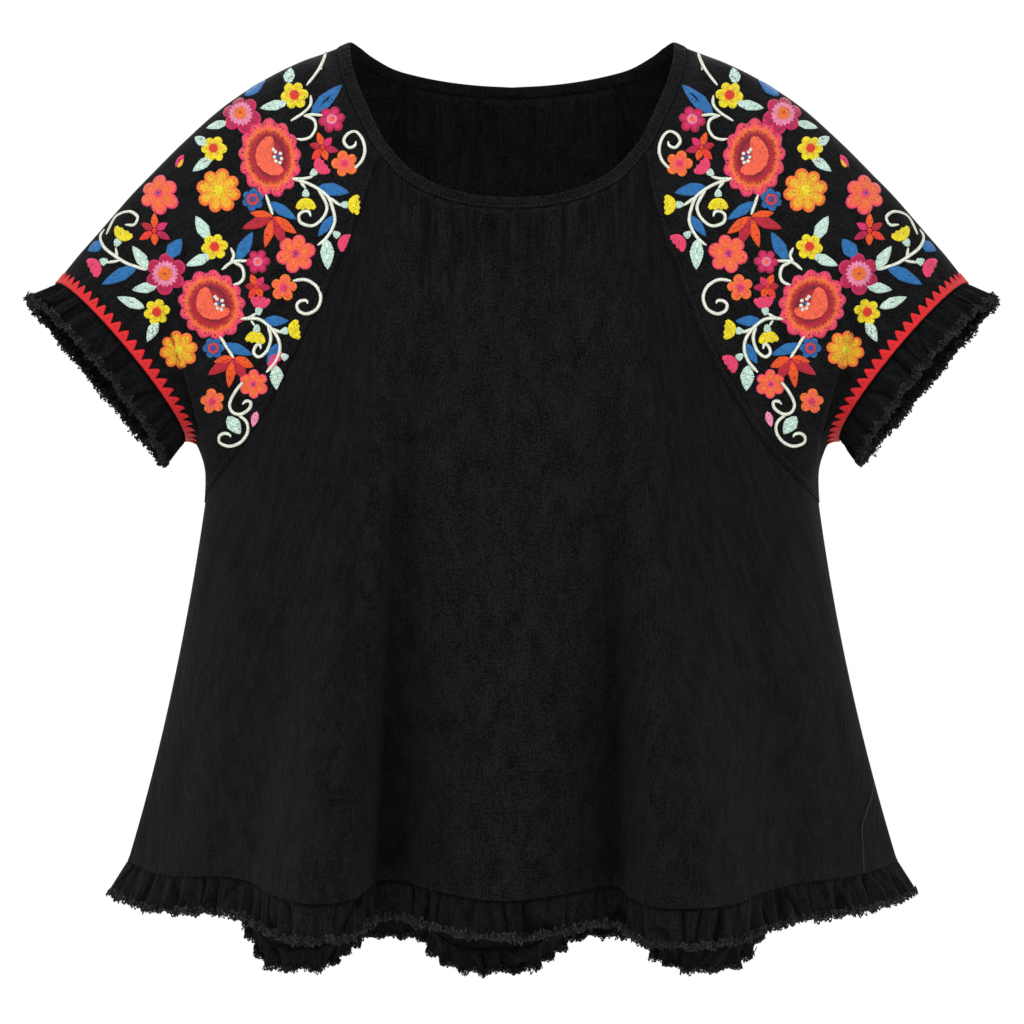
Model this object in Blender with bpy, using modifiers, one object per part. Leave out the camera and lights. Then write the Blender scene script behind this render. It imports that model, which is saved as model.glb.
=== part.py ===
"""Raglan-sleeved top with frilled hem and cuffs, filled out as it hangs from the shoulders, unworn.

Metres, +Z up, the front faces -Y. The origin is midway between the two tops of the shoulders, where the
top is held. Tables are in millimetres. Each cloth piece is an open surface that a Solidify modifier makes
a wall.
"""

import math
from collections import namedtuple

import bmesh
import bpy
import numpy as np

MM = 0.001

# Walls and seams
PANEL_WALL = 1.4 * MM
FRILL_WALL = 1.2 * MM
TRIM_WALL = 1.0 * MM
SEAM_HALF_GAP = 0.25 * MM
WIDEST_HALF_GAP = 1.0 * MM
NECK_SET_BACK = 0.6 * MM
HEM_SET_BACK = 0.37 * MM
TRIM_GAP = 0.5 * MM

# Body
ARMPIT_HALF_WIDTH = 230 * MM
ARMPIT_HEIGHT = -345 * MM
HEM_HALF_WIDTH = 289 * MM
SIDE_HEM_HEIGHT = -614 * MM
FLARE_START_SHARE = 0.61
SECTION_ROUNDNESS = 2.2
GATHER_DEPTH = 0.8 * MM
GATHER_REACH = 60 * MM

# Neck binding
BINDING_THICKNESS = 2.4 * MM

# Hem frills: the back strip is as wide as the front one at the side seams and narrower behind
FRONT_FRILL_HEIGHT = 30 * MM
BACK_FRILL_HEIGHT = 21 * MM
HEM_FLARE_AT_SIDE = 14 * MM
HEM_FLARE = 7 * MM
FRONT_FRILL_WAVES = 46
BACK_FRILL_WAVES = 48

# Cuff frills and the pointed trim above them
CUFF_FRILL_HEIGHT = 26.5 * MM
CUFF_FRILL_FLARE = 3 * MM
CUFF_FRILL_WAVES = 26
CUFF_TRIM_POINTS = 52
CUFF_TRIM_BAND = 3.4 * MM
CUFF_TRIM_HEIGHT = 9.6 * MM

# Both frills: how far a wave stands out at the seam and at the free edge
WAVE_AT_SEAM = 0.6 * MM
WAVE_AT_EDGE = 4.2 * MM
COLUMNS_PER_WAVE = 4

# Mesh steps
RAGLAN_STEPS = 11
FRONT_NECK_STEPS = 28
BACK_NECK_STEPS = 24
SLEEVE_COLUMNS = 26
BODY_ROWS = 13

# Depth of the plain body in front of and behind the side seams, at its centre
DepthRow = namedtuple("DepthRow", "z front back")
DEPTHS = [
    DepthRow(0, 40, 70),
    DepthRow(-60, 66, 92),
    DepthRow(-92, 80, 101),
    DepthRow(-132, 95, 109),
    DepthRow(-190, 111, 117),
    DepthRow(-240, 121, 120),
    DepthRow(-300, 130, 121),
    DepthRow(-360, 136, 122),
    DepthRow(-450, 142, 127),
    DepthRow(-700, 152, 140),
]

# The seam under the neck binding and the binding's free edge, from centre front to centre back, +X side
NeckRow = namedtuple("NeckRow", "x y z edge_x edge_y edge_z")
NECK = [
    NeckRow(0, -95, -132, 0, -92, -123.5),
    NeckRow(27, -94.5, -130, 26, -91.5, -121.5),
    NeckRow(52, -92, -124, 49.5, -89, -115.5),
    NeckRow(74, -87, -113.6, 69, -84, -105.5),
    NeckRow(86, -81.5, -103.5, 79.5, -78.5, -96.5),
    NeckRow(96, -74, -91.7, 89, -71, -85.5),
    NeckRow(104, -66, -80, 96.5, -63, -74.5),
    NeckRow(118, -43, -51, 109.5, -41, -46),
    NeckRow(125, -28, -34, 116, -27, -29.5),
    NeckRow(129, -13, -19, 120, -12.5, -14.5),
    NeckRow(130.5, 8, -3.6, 121.5, 9, 0.6),
    NeckRow(124, 27, -6.5, 114.5, 23.5, -1.4),
    NeckRow(114, 42.5, -12.5, 107, 38, -6),
    NeckRow(96.5, 59.5, -20.8, 91.5, 55, -13.4),
    NeckRow(78.5, 70, -25.3, 75, 65.5, -17.4),
    NeckRow(54.5, 79.5, -29, 52.5, 75, -21),
    NeckRow(28, 84, -31.6, 27.5, 79.5, -23.6),
    NeckRow(0, 85.2, -33, 0, 80.8, -25),
]
FRONT_CORNER, SHOULDER, BACK_CORNER, CENTRE_BACK = 5, 10, 14, 17

# Raglan seams from neck to armpit: they lie on the plain body, so x and z give them. The two front ones
# differ a little, x_left being the seam of the +X side
SeamRow = namedtuple("SeamRow", "z x_right x_left")
FRONT_RAGLAN = [
    SeamRow(-91.7, 96, 96),
    SeamRow(-131, 109.5, 104),
    SeamRow(-177, 127.5, 119),
    SeamRow(-237, 158, 143),
    SeamRow(-278.5, 179.5, 167),
    SeamRow(-309.6, 202, 190),
    SeamRow(-334, 223, 216),
    SeamRow(-345, 230, 230),
]
BACK_RAGLAN = [
    SeamRow(-25.3, 78.5, 78.5),
    SeamRow(-62, 91, 91),
    SeamRow(-105, 104, 104),
    SeamRow(-155, 122, 122),
    SeamRow(-208, 146, 146),
    SeamRow(-258, 174, 174),
    SeamRow(-303, 203, 203),
    SeamRow(-335, 223, 223),
    SeamRow(-345, 230, 230),
]

# Sleeve sections on the +X side. share is 0 at the neck, 1 at the armpit and most at the cuff. top_* is the
# fold line over the shoulder. under_* is the underarm point, used past the armpit. pull is how far the
# section runs straight on from the raglan seam; front_low, front_high, back_low and back_high are how far
# forward or back its lower and upper handles reach. tilt moves the front handles towards the neck, and the
# back ones away from it by a smaller share. rise lifts the lower handles, which arches the underarm.
SleeveRow = namedtuple(
    "SleeveRow",
    "share top_x top_y top_z under_x under_y under_z pull front_low front_high back_low back_high tilt rise",
)
SLEEVE = [
    SleeveRow(0.0, 130.5, 8, -3.6, 230, 0, -345, 0.50, -58, -34, 66, 48, 0, 0),
    SleeveRow(0.2, 172.5, 6, -21, 230, 0, -345, 0.48, -66, -40, 78, 54, 0, 0),
    SleeveRow(0.4, 212, 2, -45.5, 230, 0, -345, 0.45, -82, -52, 90, 58, 0, 0),
    SleeveRow(0.6, 245, -2, -75, 230, 0, -345, 0.42, -92, -63, 95, 60, 1, 0),
    SleeveRow(0.8, 274.5, -5, -105, 230, 0, -345, 0.34, -92, -71, 92, 60, 3, 12),
    SleeveRow(0.9, 287, -7, -118.5, 230, 0, -345, 0.20, -90, -74, 84, 58, 5, 34),
    SleeveRow(1.0, 299.5, -8, -133, 230, 0, -345, 0.00, -84, -77, 68, 57, 8, 80),
    SleeveRow(1.1, 312, -9, -147.5, 229.5, -2, -322, 0.00, -80, -78, 62, 57, 11, 42),
    SleeveRow(1.18, 323, -9.5, -160, 233, -5, -307.5, 0.00, -79, -78, 60, 57, 14, 16),
    SleeveRow(1.24, 331, -10, -170, 237.5, -7, -299.5, 0.00, -78, -78, 59, 57, 16, 5),
    SleeveRow(1.3, 341, -10, -183, 245.5, -8, -297.6, 0.00, -78, -78, 58, 56, 17, 0),
]
BACK_TILT_SHARE = 0.25
TOWARDS_NECK = np.array((-0.766, 0.0, 0.643))
RISE = np.array((-0.12, 0.0, 1.0))
OUT_OF_CUFF = np.array((0.747, -0.18, -0.627))

# Where the body meets its frills. starts is the height at which a fold leaves the plain body
HemRow = namedtuple("HemRow", "x y z starts")
FRONT_HEM = [
    HemRow(-288, 0, -614, -420),
    HemRow(-262, -47, -619, -420),
    HemRow(-234, -84, -618, -420),
    HemRow(-206, -106, -616, -400),
    HemRow(-186, -124, -619, -380),
    HemRow(-172, -152, -624, -330),
    HemRow(-145, -184, -628, -300),
    HemRow(-117, -172, -627, -260),
    HemRow(-104, -146, -621, -200),
    HemRow(-98, -118, -618, -150),
    HemRow(-78, -119, -618, -150),
    HemRow(-56, -143, -622, -260),
    HemRow(-28, -165, -626, -300),
    HemRow(0, -172, -627, -300),
    HemRow(28, -160, -625, -280),
    HemRow(56, -136, -622, -240),
    HemRow(76, -121, -622, -200),
    HemRow(86, -146, -628, -240),
    HemRow(101, -174, -631, -300),
    HemRow(129, -185, -631, -320),
    HemRow(158, -165, -630, -330),
    HemRow(178, -137, -625, -300),
    HemRow(206, -104, -621, -280),
    HemRow(234, -82, -620, -380),
    HemRow(262, -48, -618, -420),
    HemRow(289, 0, -614, -420),
]
BACK_HEM = [
    HemRow(-288, 0, -614, -400),
    HemRow(-265, 50, -618, -400),
    HemRow(-240, 90, -622, -400),
    HemRow(-222, 118, -634, -380),
    HemRow(-208, 138, -660, -360),
    HemRow(-196, 122, -684, -340),
    HemRow(-182, 108, -690, -330),
    HemRow(-162, 104, -691, -300),
    HemRow(-142, 112, -689, -280),
    HemRow(-129, 134, -681, -280),
    HemRow(-116, 158, -673, -280),
    HemRow(-93, 166, -671, -300),
    HemRow(-72, 156, -673, -300),
    HemRow(-59, 130, -684, -300),
    HemRow(-40, 113, -692, -300),
    HemRow(-10, 109, -693, -300),
    HemRow(16, 114, -691, -300),
    HemRow(34, 134, -682, -300),
    HemRow(50, 158, -673, -300),
    HemRow(75, 166, -671, -280),
    HemRow(98, 158, -673, -280),
    HemRow(110, 134, -683, -300),
    HemRow(126, 112, -690, -300),
    HemRow(148, 104, -692, -320),
    HemRow(170, 108, -690, -330),
    HemRow(186, 124, -680, -340),
    HemRow(202, 138, -656, -360),
    HemRow(220, 118, -633, -380),
    HemRow(240, 90, -623, -400),
    HemRow(265, 50, -618, -400),
    HemRow(289, 0, -614, -400),
]
HEM_SHARE_AT_CORNER = 0.3

# Colours of the finishes, as red, green, blue, roughness
BLACK_COTTON = (0.012, 0.012, 0.014, 0.9)
RED_BRAID = (0.78, 0.015, 0.02, 0.6)


def through(keys, values, at):
    """The value at one key of a smooth curve through all the values, which may be points."""
    keys = np.asarray(keys, float)
    values = np.asarray(values, float)
    at = min(max(at, keys[0]), keys[-1])
    i = min(max(int(np.searchsorted(keys, at, side="right")) - 1, 0), len(keys) - 2)

    def slope(k):
        low, high = max(k - 1, 0), min(k + 1, len(keys) - 1)
        return (values[high] - values[low]) / (keys[high] - keys[low])

    span = keys[i + 1] - keys[i]
    t = (at - keys[i]) / span
    return (
        values[i] * (1 + 2 * t) * (1 - t) ** 2
        + slope(i) * span * t * (1 - t) ** 2
        + values[i + 1] * t * t * (3 - 2 * t)
        - slope(i + 1) * span * t * t * (1 - t)
    )


def smooth_step(t):
    t = min(max(t, 0.0), 1.0)
    return t * t * (3 - 2 * t)


def mirrored(point):
    return np.array((-point[0], point[1], point[2]))


def unit(vector):
    return vector / np.linalg.norm(vector)


def half_width(z):
    """Half the plain body's width at a height."""
    drop = max((ARMPIT_HEIGHT - z) / (ARMPIT_HEIGHT - SIDE_HEM_HEIGHT), 0.0)
    share = FLARE_START_SHARE * drop + (1 - FLARE_START_SHARE) * drop * drop
    return ARMPIT_HALF_WIDTH + (HEM_HALF_WIDTH - ARMPIT_HALF_WIDTH) * share


def plain_depth(x, z, side):
    """Y of the plain body at a place. side is -1 for the front and 1 for the back."""
    heights = [row.z * MM for row in reversed(DEPTHS)]
    depths = [(row.front if side < 0 else row.back) * MM for row in reversed(DEPTHS)]
    across = min(abs(x) / half_width(z), 1.0)
    return side * through(heights, depths, z) * math.sqrt(1 - across**SECTION_ROUNDNESS)


def neck_point(place):
    """A point of the seam under the binding, and the binding's free edge there, for a place along NECK."""
    rows = np.array(NECK) * MM
    both = through(range(len(NECK)), rows, place)
    return both[:3], both[3:]


def raglan_point(share, side, hand):
    """A point of a raglan seam, share 0 at the neck and 1 at the armpit, on the +X side when hand is 1."""
    rows = FRONT_RAGLAN if side < 0 else BACK_RAGLAN
    flat = [((row.x_left if hand > 0 else row.x_right) * MM, row.z * MM) for row in rows]
    points = np.array([(x, plain_depth(x, z, side), z) for x, z in flat])
    points[0] = neck_point(FRONT_CORNER if side < 0 else BACK_CORNER)[0]
    points[-1] = (ARMPIT_HALF_WIDTH, 0, ARMPIT_HEIGHT)
    point = through(lengths_along(points), points, share)
    return point if hand > 0 else mirrored(point)


def lengths_along(points):
    """Share of a line's length at each of its points."""
    lengths = np.concatenate([[0], np.cumsum(np.linalg.norm(np.diff(points, axis=0), axis=1))])
    return lengths / lengths[-1]


def sleeve_section(share, around, hand):
    """A point of a sleeve. around is 0 at the front seam, 0.5 on the shoulder's fold line, 1 at the back."""
    side = -1 if around < 0.5 else 1
    sides = np.array((hand, 1, 1))
    if share <= 0:
        half = around * 2 if side < 0 else (around - 0.5) * 2
        ends = (FRONT_CORNER, SHOULDER) if side < 0 else (SHOULDER, BACK_CORNER)
        return neck_point(ends[0] + (ends[1] - ends[0]) * half)[0] * sides
    row = SleeveRow(*through([r.share for r in SLEEVE], np.array(SLEEVE), share))
    top = np.array((row.top_x, row.top_y, row.top_z)) * MM * sides
    under = np.array((row.under_x, row.under_y, row.under_z)) * MM * sides
    low = raglan_point(share, side, hand) if share < 1 else under
    reach_low, reach_high = (row.front_low, row.front_high) if side < 0 else (row.back_low, row.back_high)
    tilt = TOWARDS_NECK * sides * row.tilt * MM * (1 if side < 0 else -BACK_TILT_SHARE)
    low_handle = low + row.pull * (top - low) + tilt + RISE * sides * row.rise * MM
    low_handle[1] = reach_low * MM
    high_handle = top + tilt
    high_handle[1] = reach_high * MM
    t = around * 2 if side < 0 else (1 - around) * 2
    return (
        low * (1 - t) ** 3
        + low_handle * 3 * t * (1 - t) ** 2
        + high_handle * 3 * t * t * (1 - t)
        + top * t**3
    )


def hem_line(side):
    """The line where the body meets a frill, each point with the height at which its fold starts."""
    rows = np.array(FRONT_HEM if side < 0 else BACK_HEM) * MM
    places = np.linspace(0, len(rows) - 1, 12 * len(rows))
    return np.array([through(range(len(rows)), rows, place) for place in places])


def at_share(line, share):
    """The point of a line at a share of its length."""
    shares = lengths_along(line[:, :3])
    return np.array([np.interp(share, shares, line[:, axis]) for axis in range(line.shape[1])])


def panel_columns(side):
    """Top point, hem point and gather phase of each column of the front or back, from -X to +X."""
    neck_steps = FRONT_NECK_STEPS if side < 0 else BACK_NECK_STEPS
    corner, centre = (FRONT_CORNER, 0) if side < 0 else (BACK_CORNER, CENTRE_BACK)
    hem = hem_line(side)
    columns = []
    for step in range(RAGLAN_STEPS):
        top = raglan_point(1 - step / RAGLAN_STEPS, side, -1)
        columns.append((top, at_share(hem, HEM_SHARE_AT_CORNER * step / RAGLAN_STEPS), 0))
    for step in range(neck_steps + 1):
        across = step / neck_steps * 2 - 1
        top = neck_point(centre + (corner - centre) * abs(across))[0]
        share = HEM_SHARE_AT_CORNER + (1 - 2 * HEM_SHARE_AT_CORNER) * step / neck_steps
        phase = 0 if step in (0, neck_steps) else (-1) ** step
        columns.append((top if across > 0 else mirrored(top), at_share(hem, share), phase))
    for step in range(1, RAGLAN_STEPS + 1):
        top = raglan_point(step / RAGLAN_STEPS, side, 1)
        columns.append((top, at_share(hem, 1 - HEM_SHARE_AT_CORNER * (1 - step / RAGLAN_STEPS)), 0))
    return columns


def panel_point(column, down, side):
    """A point of the front or back: down is 0 at the neck or raglan seam and 1 at the hem."""
    top, (x, y, z, starts), phase = column
    height = top[2] + (z - top[2]) * down
    share = FLARE_START_SHARE * down + (1 - FLARE_START_SHARE) * down * down
    across = top[0] + (x - top[0]) * share
    fold = y - plain_depth(x, z, side)
    grown = smooth_step((starts - height) / (starts - z)) if height < starts else 0.0
    correction = (top[1] - plain_depth(top[0], top[2], side)) * (1 - down) ** 4
    gather = side * phase * GATHER_DEPTH * max(1 - (top[2] - height) / GATHER_REACH, 0.0)
    return np.array((across, plain_depth(across, height, side) + fold * grown + correction + gather, height))


def panel_grid(side):
    """Points of the front or back, row by row from the top, before its seams are set back."""
    columns = panel_columns(side)
    downs = [row / BODY_ROWS for row in range(BODY_ROWS + 1)]
    return np.array([[panel_point(column, down, side) for column in columns] for down in downs])


def sleeve_grid(hand):
    """Points of one sleeve, row by row from neck to cuff, before its seams are set back."""
    shares = [step / RAGLAN_STEPS for step in range(RAGLAN_STEPS + 1)]
    shares += [row.share for row in SLEEVE if row.share > 1]
    places = [column / SLEEVE_COLUMNS for column in range(SLEEVE_COLUMNS + 1)]
    return np.array([[sleeve_section(share, around, hand) for around in places] for share in shares])


def into_piece(edge, inner):
    """Unit directions from an edge into its piece, square to the edge."""
    tangents = np.gradient(edge, axis=0)
    directions = []
    for tangent, way in zip(tangents, inner - edge):
        along = unit(tangent)
        directions.append(unit(way - along * np.dot(way, along)))
    return np.array(directions)


def half_gaps(ways, others):
    """How far to set an edge back, more where it meets its neighbour at a bend, to keep the walls clear."""
    gaps = []
    for way, other in zip(ways, others):
        straight = -float(np.dot(way, other))
        bend = math.sqrt(max(1 - straight, 0) / max(1 + straight, 0.05))
        gaps.append(min(SEAM_HALF_GAP + PANEL_WALL / 2 * bend, WIDEST_HALF_GAP))
    return np.array(gaps)[:, None]


def set_back(grids):
    """Sets each panel and sleeve back from the seams that it shares with the others."""
    plain = {key: grid.copy() for key, grid in grids.items()}
    for side, panel in ((-1, "front"), (1, "back")):
        for hand, sleeve in ((-1, "sleeve_right"), (1, "sleeve_left")):
            column = 0 if hand < 0 else -1
            across = slice(0, RAGLAN_STEPS + 1) if hand < 0 else slice(None, -RAGLAN_STEPS - 2, -1)
            seam, below = plain[panel][0, across], plain[panel][1, across]
            edge = 0 if side < 0 else -1
            inner = inner_of(edge)
            sleeve_edge = plain[sleeve][RAGLAN_STEPS::-1, edge]
            sleeve_inner = plain[sleeve][RAGLAN_STEPS::-1, inner]
            way, sleeve_way = into_piece(seam, below), into_piece(sleeve_edge, sleeve_inner)
            gaps = half_gaps(way, sleeve_way)
            grids[panel][0, across] += way * gaps
            grids[sleeve][RAGLAN_STEPS - 1 :: -1, edge] += (sleeve_way * gaps)[1:]
            sides = []
            for own_plain in (plain["front"], plain["back"]):
                sides.append(into_piece(own_plain[:, column], own_plain[:, inner_of(column)]))
            for ways in sides:
                ways[0] = ways[1]
            own, other = sides if side < 0 else sides[::-1]
            grids[panel][:, column] += own * half_gaps(own, other) * 1.3
    for hand, sleeve in ((-1, "sleeve_right"), (1, "sleeve_left")):
        armpit = unit(plain[sleeve][RAGLAN_STEPS + 1, 0] - plain[sleeve][RAGLAN_STEPS, 0])
        grids[sleeve][RAGLAN_STEPS, 0] += armpit * 4 * SEAM_HALF_GAP
        grids[sleeve][RAGLAN_STEPS, -1] = grids[sleeve][RAGLAN_STEPS, 0]
        grids[sleeve][0] += into_piece(plain[sleeve][0], plain[sleeve][1]) * NECK_SET_BACK
        last = plain[sleeve][-1]
        grids[sleeve][-1] += into_piece(last, plain[sleeve][-2]) * HEM_SET_BACK
        grids[sleeve][-1, -1] = grids[sleeve][-1, 0]
    for panel in ("front", "back"):
        neck = slice(RAGLAN_STEPS, -RAGLAN_STEPS)
        grids[panel][0, neck] += into_piece(plain[panel][0, neck], plain[panel][1, neck]) * NECK_SET_BACK
        grids[panel][-1] += into_piece(plain[panel][-1], plain[panel][-2]) * HEM_SET_BACK


def inner_of(column):
    return 1 if column == 0 else -2


def material(name, finish):
    """A Principled finish."""
    made = bpy.data.materials.get(name)
    if made is None:
        made = bpy.data.materials.new(name)
        made.use_nodes = True
        shader = made.node_tree.nodes["Principled BSDF"]
        shader.inputs["Base Color"].default_value = (*finish[:3], 1)
        shader.inputs["Roughness"].default_value = finish[3]
        made.diffuse_color = (*finish[:3], 1)
    return made


def cloth(name, corners, faces, wall, finish):
    """An object from an open surface, with a Solidify modifier that gives it its wall."""
    mesh = bpy.data.meshes.new(name)
    mesh.from_pydata([tuple(map(float, p)) for p in corners], [], faces)
    shaped = bmesh.new()
    shaped.from_mesh(mesh)
    bmesh.ops.recalc_face_normals(shaped, faces=shaped.faces)
    shaped.to_mesh(mesh)
    shaped.free()
    mesh.shade_smooth()
    made = bpy.data.objects.new(name, mesh)
    made.data.materials.append(material(*finish))
    garment.objects.link(made)
    if wall:
        solid = made.modifiers.new("wall", "SOLIDIFY")
        solid.thickness = wall
        solid.offset = 0
    return made


def grid_faces(rows, columns, closed=False):
    """Faces of a grid of points that is listed row by row."""
    faces = []
    for row in range(rows - 1):
        here, below = row * columns, (row + 1) * columns
        for column in range(columns if closed else columns - 1):
            after = (column + 1) % columns
            faces.append((here + column, here + after, below + after, below + column))
    return faces


def build_panel(name, grid):
    """The front or the back, between the two raglan seams, the neck seam, the side seams and the hem."""
    faces = grid_faces(*grid.shape[:2])
    return cloth(name, grid.reshape(-1, 3), faces, PANEL_WALL, ("black_cotton", BLACK_COTTON))


def build_sleeve(name, grid):
    """One raglan sleeve: open from neck to armpit, and a closed tube from the armpit to the cuff."""
    points, number = [], {}
    for row in range(len(grid)):
        for column in range(SLEEVE_COLUMNS + 1):
            if row >= RAGLAN_STEPS and column == SLEEVE_COLUMNS:
                number[row, column] = number[row, 0]
                continue
            number[row, column] = len(points)
            points.append(grid[row, column])
    faces = [
        (number[r, c], number[r, c + 1], number[r + 1, c + 1], number[r + 1, c])
        for r in range(len(grid) - 1)
        for c in range(SLEEVE_COLUMNS)
    ]
    return cloth(name, points, faces, PANEL_WALL, ("black_cotton", BLACK_COTTON))


def binding_places():
    """Places along NECK, and the hand of each, once round the neck, at the columns of the pieces below."""
    half = [FRONT_CORNER * step / (FRONT_NECK_STEPS // 2) for step in range(FRONT_NECK_STEPS // 2)]
    steps = SLEEVE_COLUMNS // 2
    half += [FRONT_CORNER + (SHOULDER - FRONT_CORNER) * step / steps for step in range(steps)]
    half += [SHOULDER + (BACK_CORNER - SHOULDER) * step / steps for step in range(steps)]
    steps = BACK_NECK_STEPS // 2
    half += [BACK_CORNER + (CENTRE_BACK - BACK_CORNER) * step / steps for step in range(steps + 1)]
    return [(place, 1) for place in half] + [(place, -1) for place in reversed(half[1:-1])]


def build_binding(name):
    """The folded strip round the neck: one closed loop of a flat section with a rounded free edge."""
    section = [(0.0, -0.5), (0.72, -0.5), (1.0, -0.22), (1.0, 0.22), (0.72, 0.5), (0.0, 0.5)]
    seam, edge = [], []
    for place, hand in binding_places():
        low, high = neck_point(place)
        seam.append(low if hand > 0 else mirrored(low))
        edge.append(high if hand > 0 else mirrored(high))
    seam, edge = np.array(seam), np.array(edge)
    count = len(seam)
    points = []
    for index in range(count):
        along = unit(seam[(index + 1) % count] - seam[index - 1])
        up = unit(edge[index] - seam[index])
        out = unit(np.cross(along, up))
        start = seam[index] + up * 2 * SEAM_HALF_GAP
        for share, across in section:
            points.append(start + (edge[index] - start) * share + out * across * BINDING_THICKNESS)
    size = len(section)
    faces = []
    for index in range(count):
        here, ahead = index * size, (index + 1) % count * size
        for k in range(size):
            after = (k + 1) % size
            faces.append((here + k, here + after, ahead + after, ahead + k))
    return cloth(name, points, faces, 0, ("black_cotton", BLACK_COTTON))


def wave(turn):
    """Height of a gathered frill's wave, uneven from one wave to the next."""
    uneven = 0.8 + 0.2 * math.sin(turn * 2.9) * math.cos(turn * 1.3)
    return math.sin(2 * math.pi * turn + 0.5 * math.sin(turn * 1.7)) * uneven


def room_for_waves(before, point, after):
    """Less than 1 where the path bends tightly, so that neighbouring waves don't meet."""
    first, second = point - before, after - point
    if min(np.linalg.norm(first), np.linalg.norm(second)) == 0:
        return 1.0
    return max(0.35, float(np.dot(unit(first), unit(second))))


def build_frill(name, path, starts, falls, closed):
    """A gathered strip from a path of points. starts leads across the seam, falls to the free edge."""
    count = len(path)
    top, bottom = [], []
    for index in range(count):
        reach = (1, COLUMNS_PER_WAVE)
        if closed:
            near, far = [(path[index - k], path[(index + k) % count]) for k in reach]
        else:
            near, far = [(path[max(index - k, 0)], path[min(index + k, count - 1)]) for k in reach]
        normal = unit(np.cross(falls[index], near[1] - near[0]))
        lift = wave(index / COLUMNS_PER_WAVE)
        if not closed:
            lift *= min(index, count - 1 - index, COLUMNS_PER_WAVE) / COLUMNS_PER_WAVE
        top.append(path[index] + starts[index] * 3 * SEAM_HALF_GAP + normal * lift * WAVE_AT_SEAM)
        room = room_for_waves(far[0], path[index], far[1])
        bottom.append(path[index] + falls[index] + normal * lift * WAVE_AT_EDGE * room)
    faces = grid_faces(2, count, closed)
    return cloth(name, top + bottom, faces, FRILL_WALL, ("black_cotton", BLACK_COTTON))


def build_hem_frill(name, side, grid, waves):
    """The frill of the front or of the back, which hangs from the hem and flares most at the side seams."""
    hem, ways = grid[-1], -into_piece(grid[-1], grid[-2])
    inset = 2 * SEAM_HALF_GAP / np.linalg.norm(np.diff(hem, axis=0), axis=1).sum()
    path, starts, falls = [], [], []
    for share in np.linspace(inset, 1 - inset, waves * COLUMNS_PER_WAVE + 1):
        point, way = at_share(hem, share), unit(at_share(np.hstack([hem, ways]), share)[3:])
        near_side = abs(point[0] / HEM_HALF_WIDTH) ** 6
        out = unit(np.array((point[0] / HEM_HALF_WIDTH * near_side, side * (1 - near_side), 0)))
        flare = HEM_FLARE + (HEM_FLARE_AT_SIDE - HEM_FLARE) * near_side
        from_side = smooth_step(min(share, 1 - share) / 0.12)
        height = FRONT_FRILL_HEIGHT
        if side > 0:
            height += (BACK_FRILL_HEIGHT - FRONT_FRILL_HEIGHT) * from_side
        fall = unit(way * 0.4 + np.array((0, 0, -1.0)) * 0.6)
        path.append(point)
        starts.append(way)
        falls.append(unit(fall * height + out * flare) * height)
    return build_frill(name, path, starts, falls, False)


def cuff_lines(grid):
    """Lines of points from the cuff's edge back along the sleeve, one for each column of frill and trim."""
    lines = []
    for index in range(CUFF_FRILL_WAVES * COLUMNS_PER_WAVE):
        column, part = divmod(index / (CUFF_FRILL_WAVES * COLUMNS_PER_WAVE) * SLEEVE_COLUMNS, 1)
        column = int(column)
        lines.append(grid[::-1, column] * (1 - part) + grid[::-1, column + 1] * part)
    return lines


def build_cuff_frill(name, grid, hand):
    """The frill that closes round one cuff."""
    lines = cuff_lines(grid)
    centre = np.mean([line[0] for line in lines], axis=0)
    away = OUT_OF_CUFF * np.array((hand, 1, 1))
    path, starts, falls = [], [], []
    for line in lines:
        out = line[0] - centre
        out = unit(out - away * np.dot(out, away))
        path.append(line[0])
        starts.append(unit(line[0] - line[1]))
        falls.append(away * CUFF_FRILL_HEIGHT + out * CUFF_FRILL_FLARE)
    return build_frill(name, path, starts, falls, True)


def walk(line, distance):
    """The point at a distance along a line."""
    for start, end in zip(line, line[1:]):
        step = np.linalg.norm(end - start)
        if step >= distance:
            return start + (end - start) * distance / step
        distance -= step
    return line[-1]


def build_cuff_trim(name, grid):
    """The braid sewn on just above one cuff frill, with a row of points towards the shoulder."""
    lines = cuff_lines(grid)
    centre = np.mean([line[0] for line in lines], axis=0)
    lift = PANEL_WALL / 2 + TRIM_GAP + TRIM_WALL / 2
    low, high = [], []
    for index, line in enumerate(lines):
        around = lines[(index + 2) % len(lines)][0] - lines[index - 2][0]
        height = CUFF_TRIM_HEIGHT if index % 2 else CUFF_TRIM_BAND
        tip, start = walk(line, height), walk(line, 3 * SEAM_HALF_GAP)
        out = unit(np.cross(around, tip - line[0]))
        if np.dot(out, line[0] - centre) < 0:
            out = -out
        low.append(start + out * lift)
        high.append(tip + out * lift)
    return cloth(name, low + high, grid_faces(2, len(low), True), TRIM_WALL, ("red_braid", RED_BRAID))


def clear_scene():
    for old in list(bpy.data.objects):
        bpy.data.objects.remove(old)


clear_scene()
garment = bpy.data.collections.new("raglan_top")
bpy.context.scene.collection.children.link(garment)
grids = {
    "front": panel_grid(-1),
    "back": panel_grid(1),
    "sleeve_right": sleeve_grid(-1),
    "sleeve_left": sleeve_grid(1),
}
seamless = {key: grid.copy() for key, grid in grids.items()}
set_back(grids)
build_panel("front", grids["front"])
build_panel("back", grids["back"])
build_sleeve("sleeve_right", grids["sleeve_right"])
build_sleeve("sleeve_left", grids["sleeve_left"])
build_binding("neck_binding")
build_hem_frill("hem_frill_front", -1, seamless["front"], FRONT_FRILL_WAVES)
build_hem_frill("hem_frill_back", 1, seamless["back"], BACK_FRILL_WAVES)
build_cuff_frill("cuff_frill_right", seamless["sleeve_right"], -1)
build_cuff_frill("cuff_frill_left", seamless["sleeve_left"], 1)
build_cuff_trim("cuff_trim_right", seamless["sleeve_right"])
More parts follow.
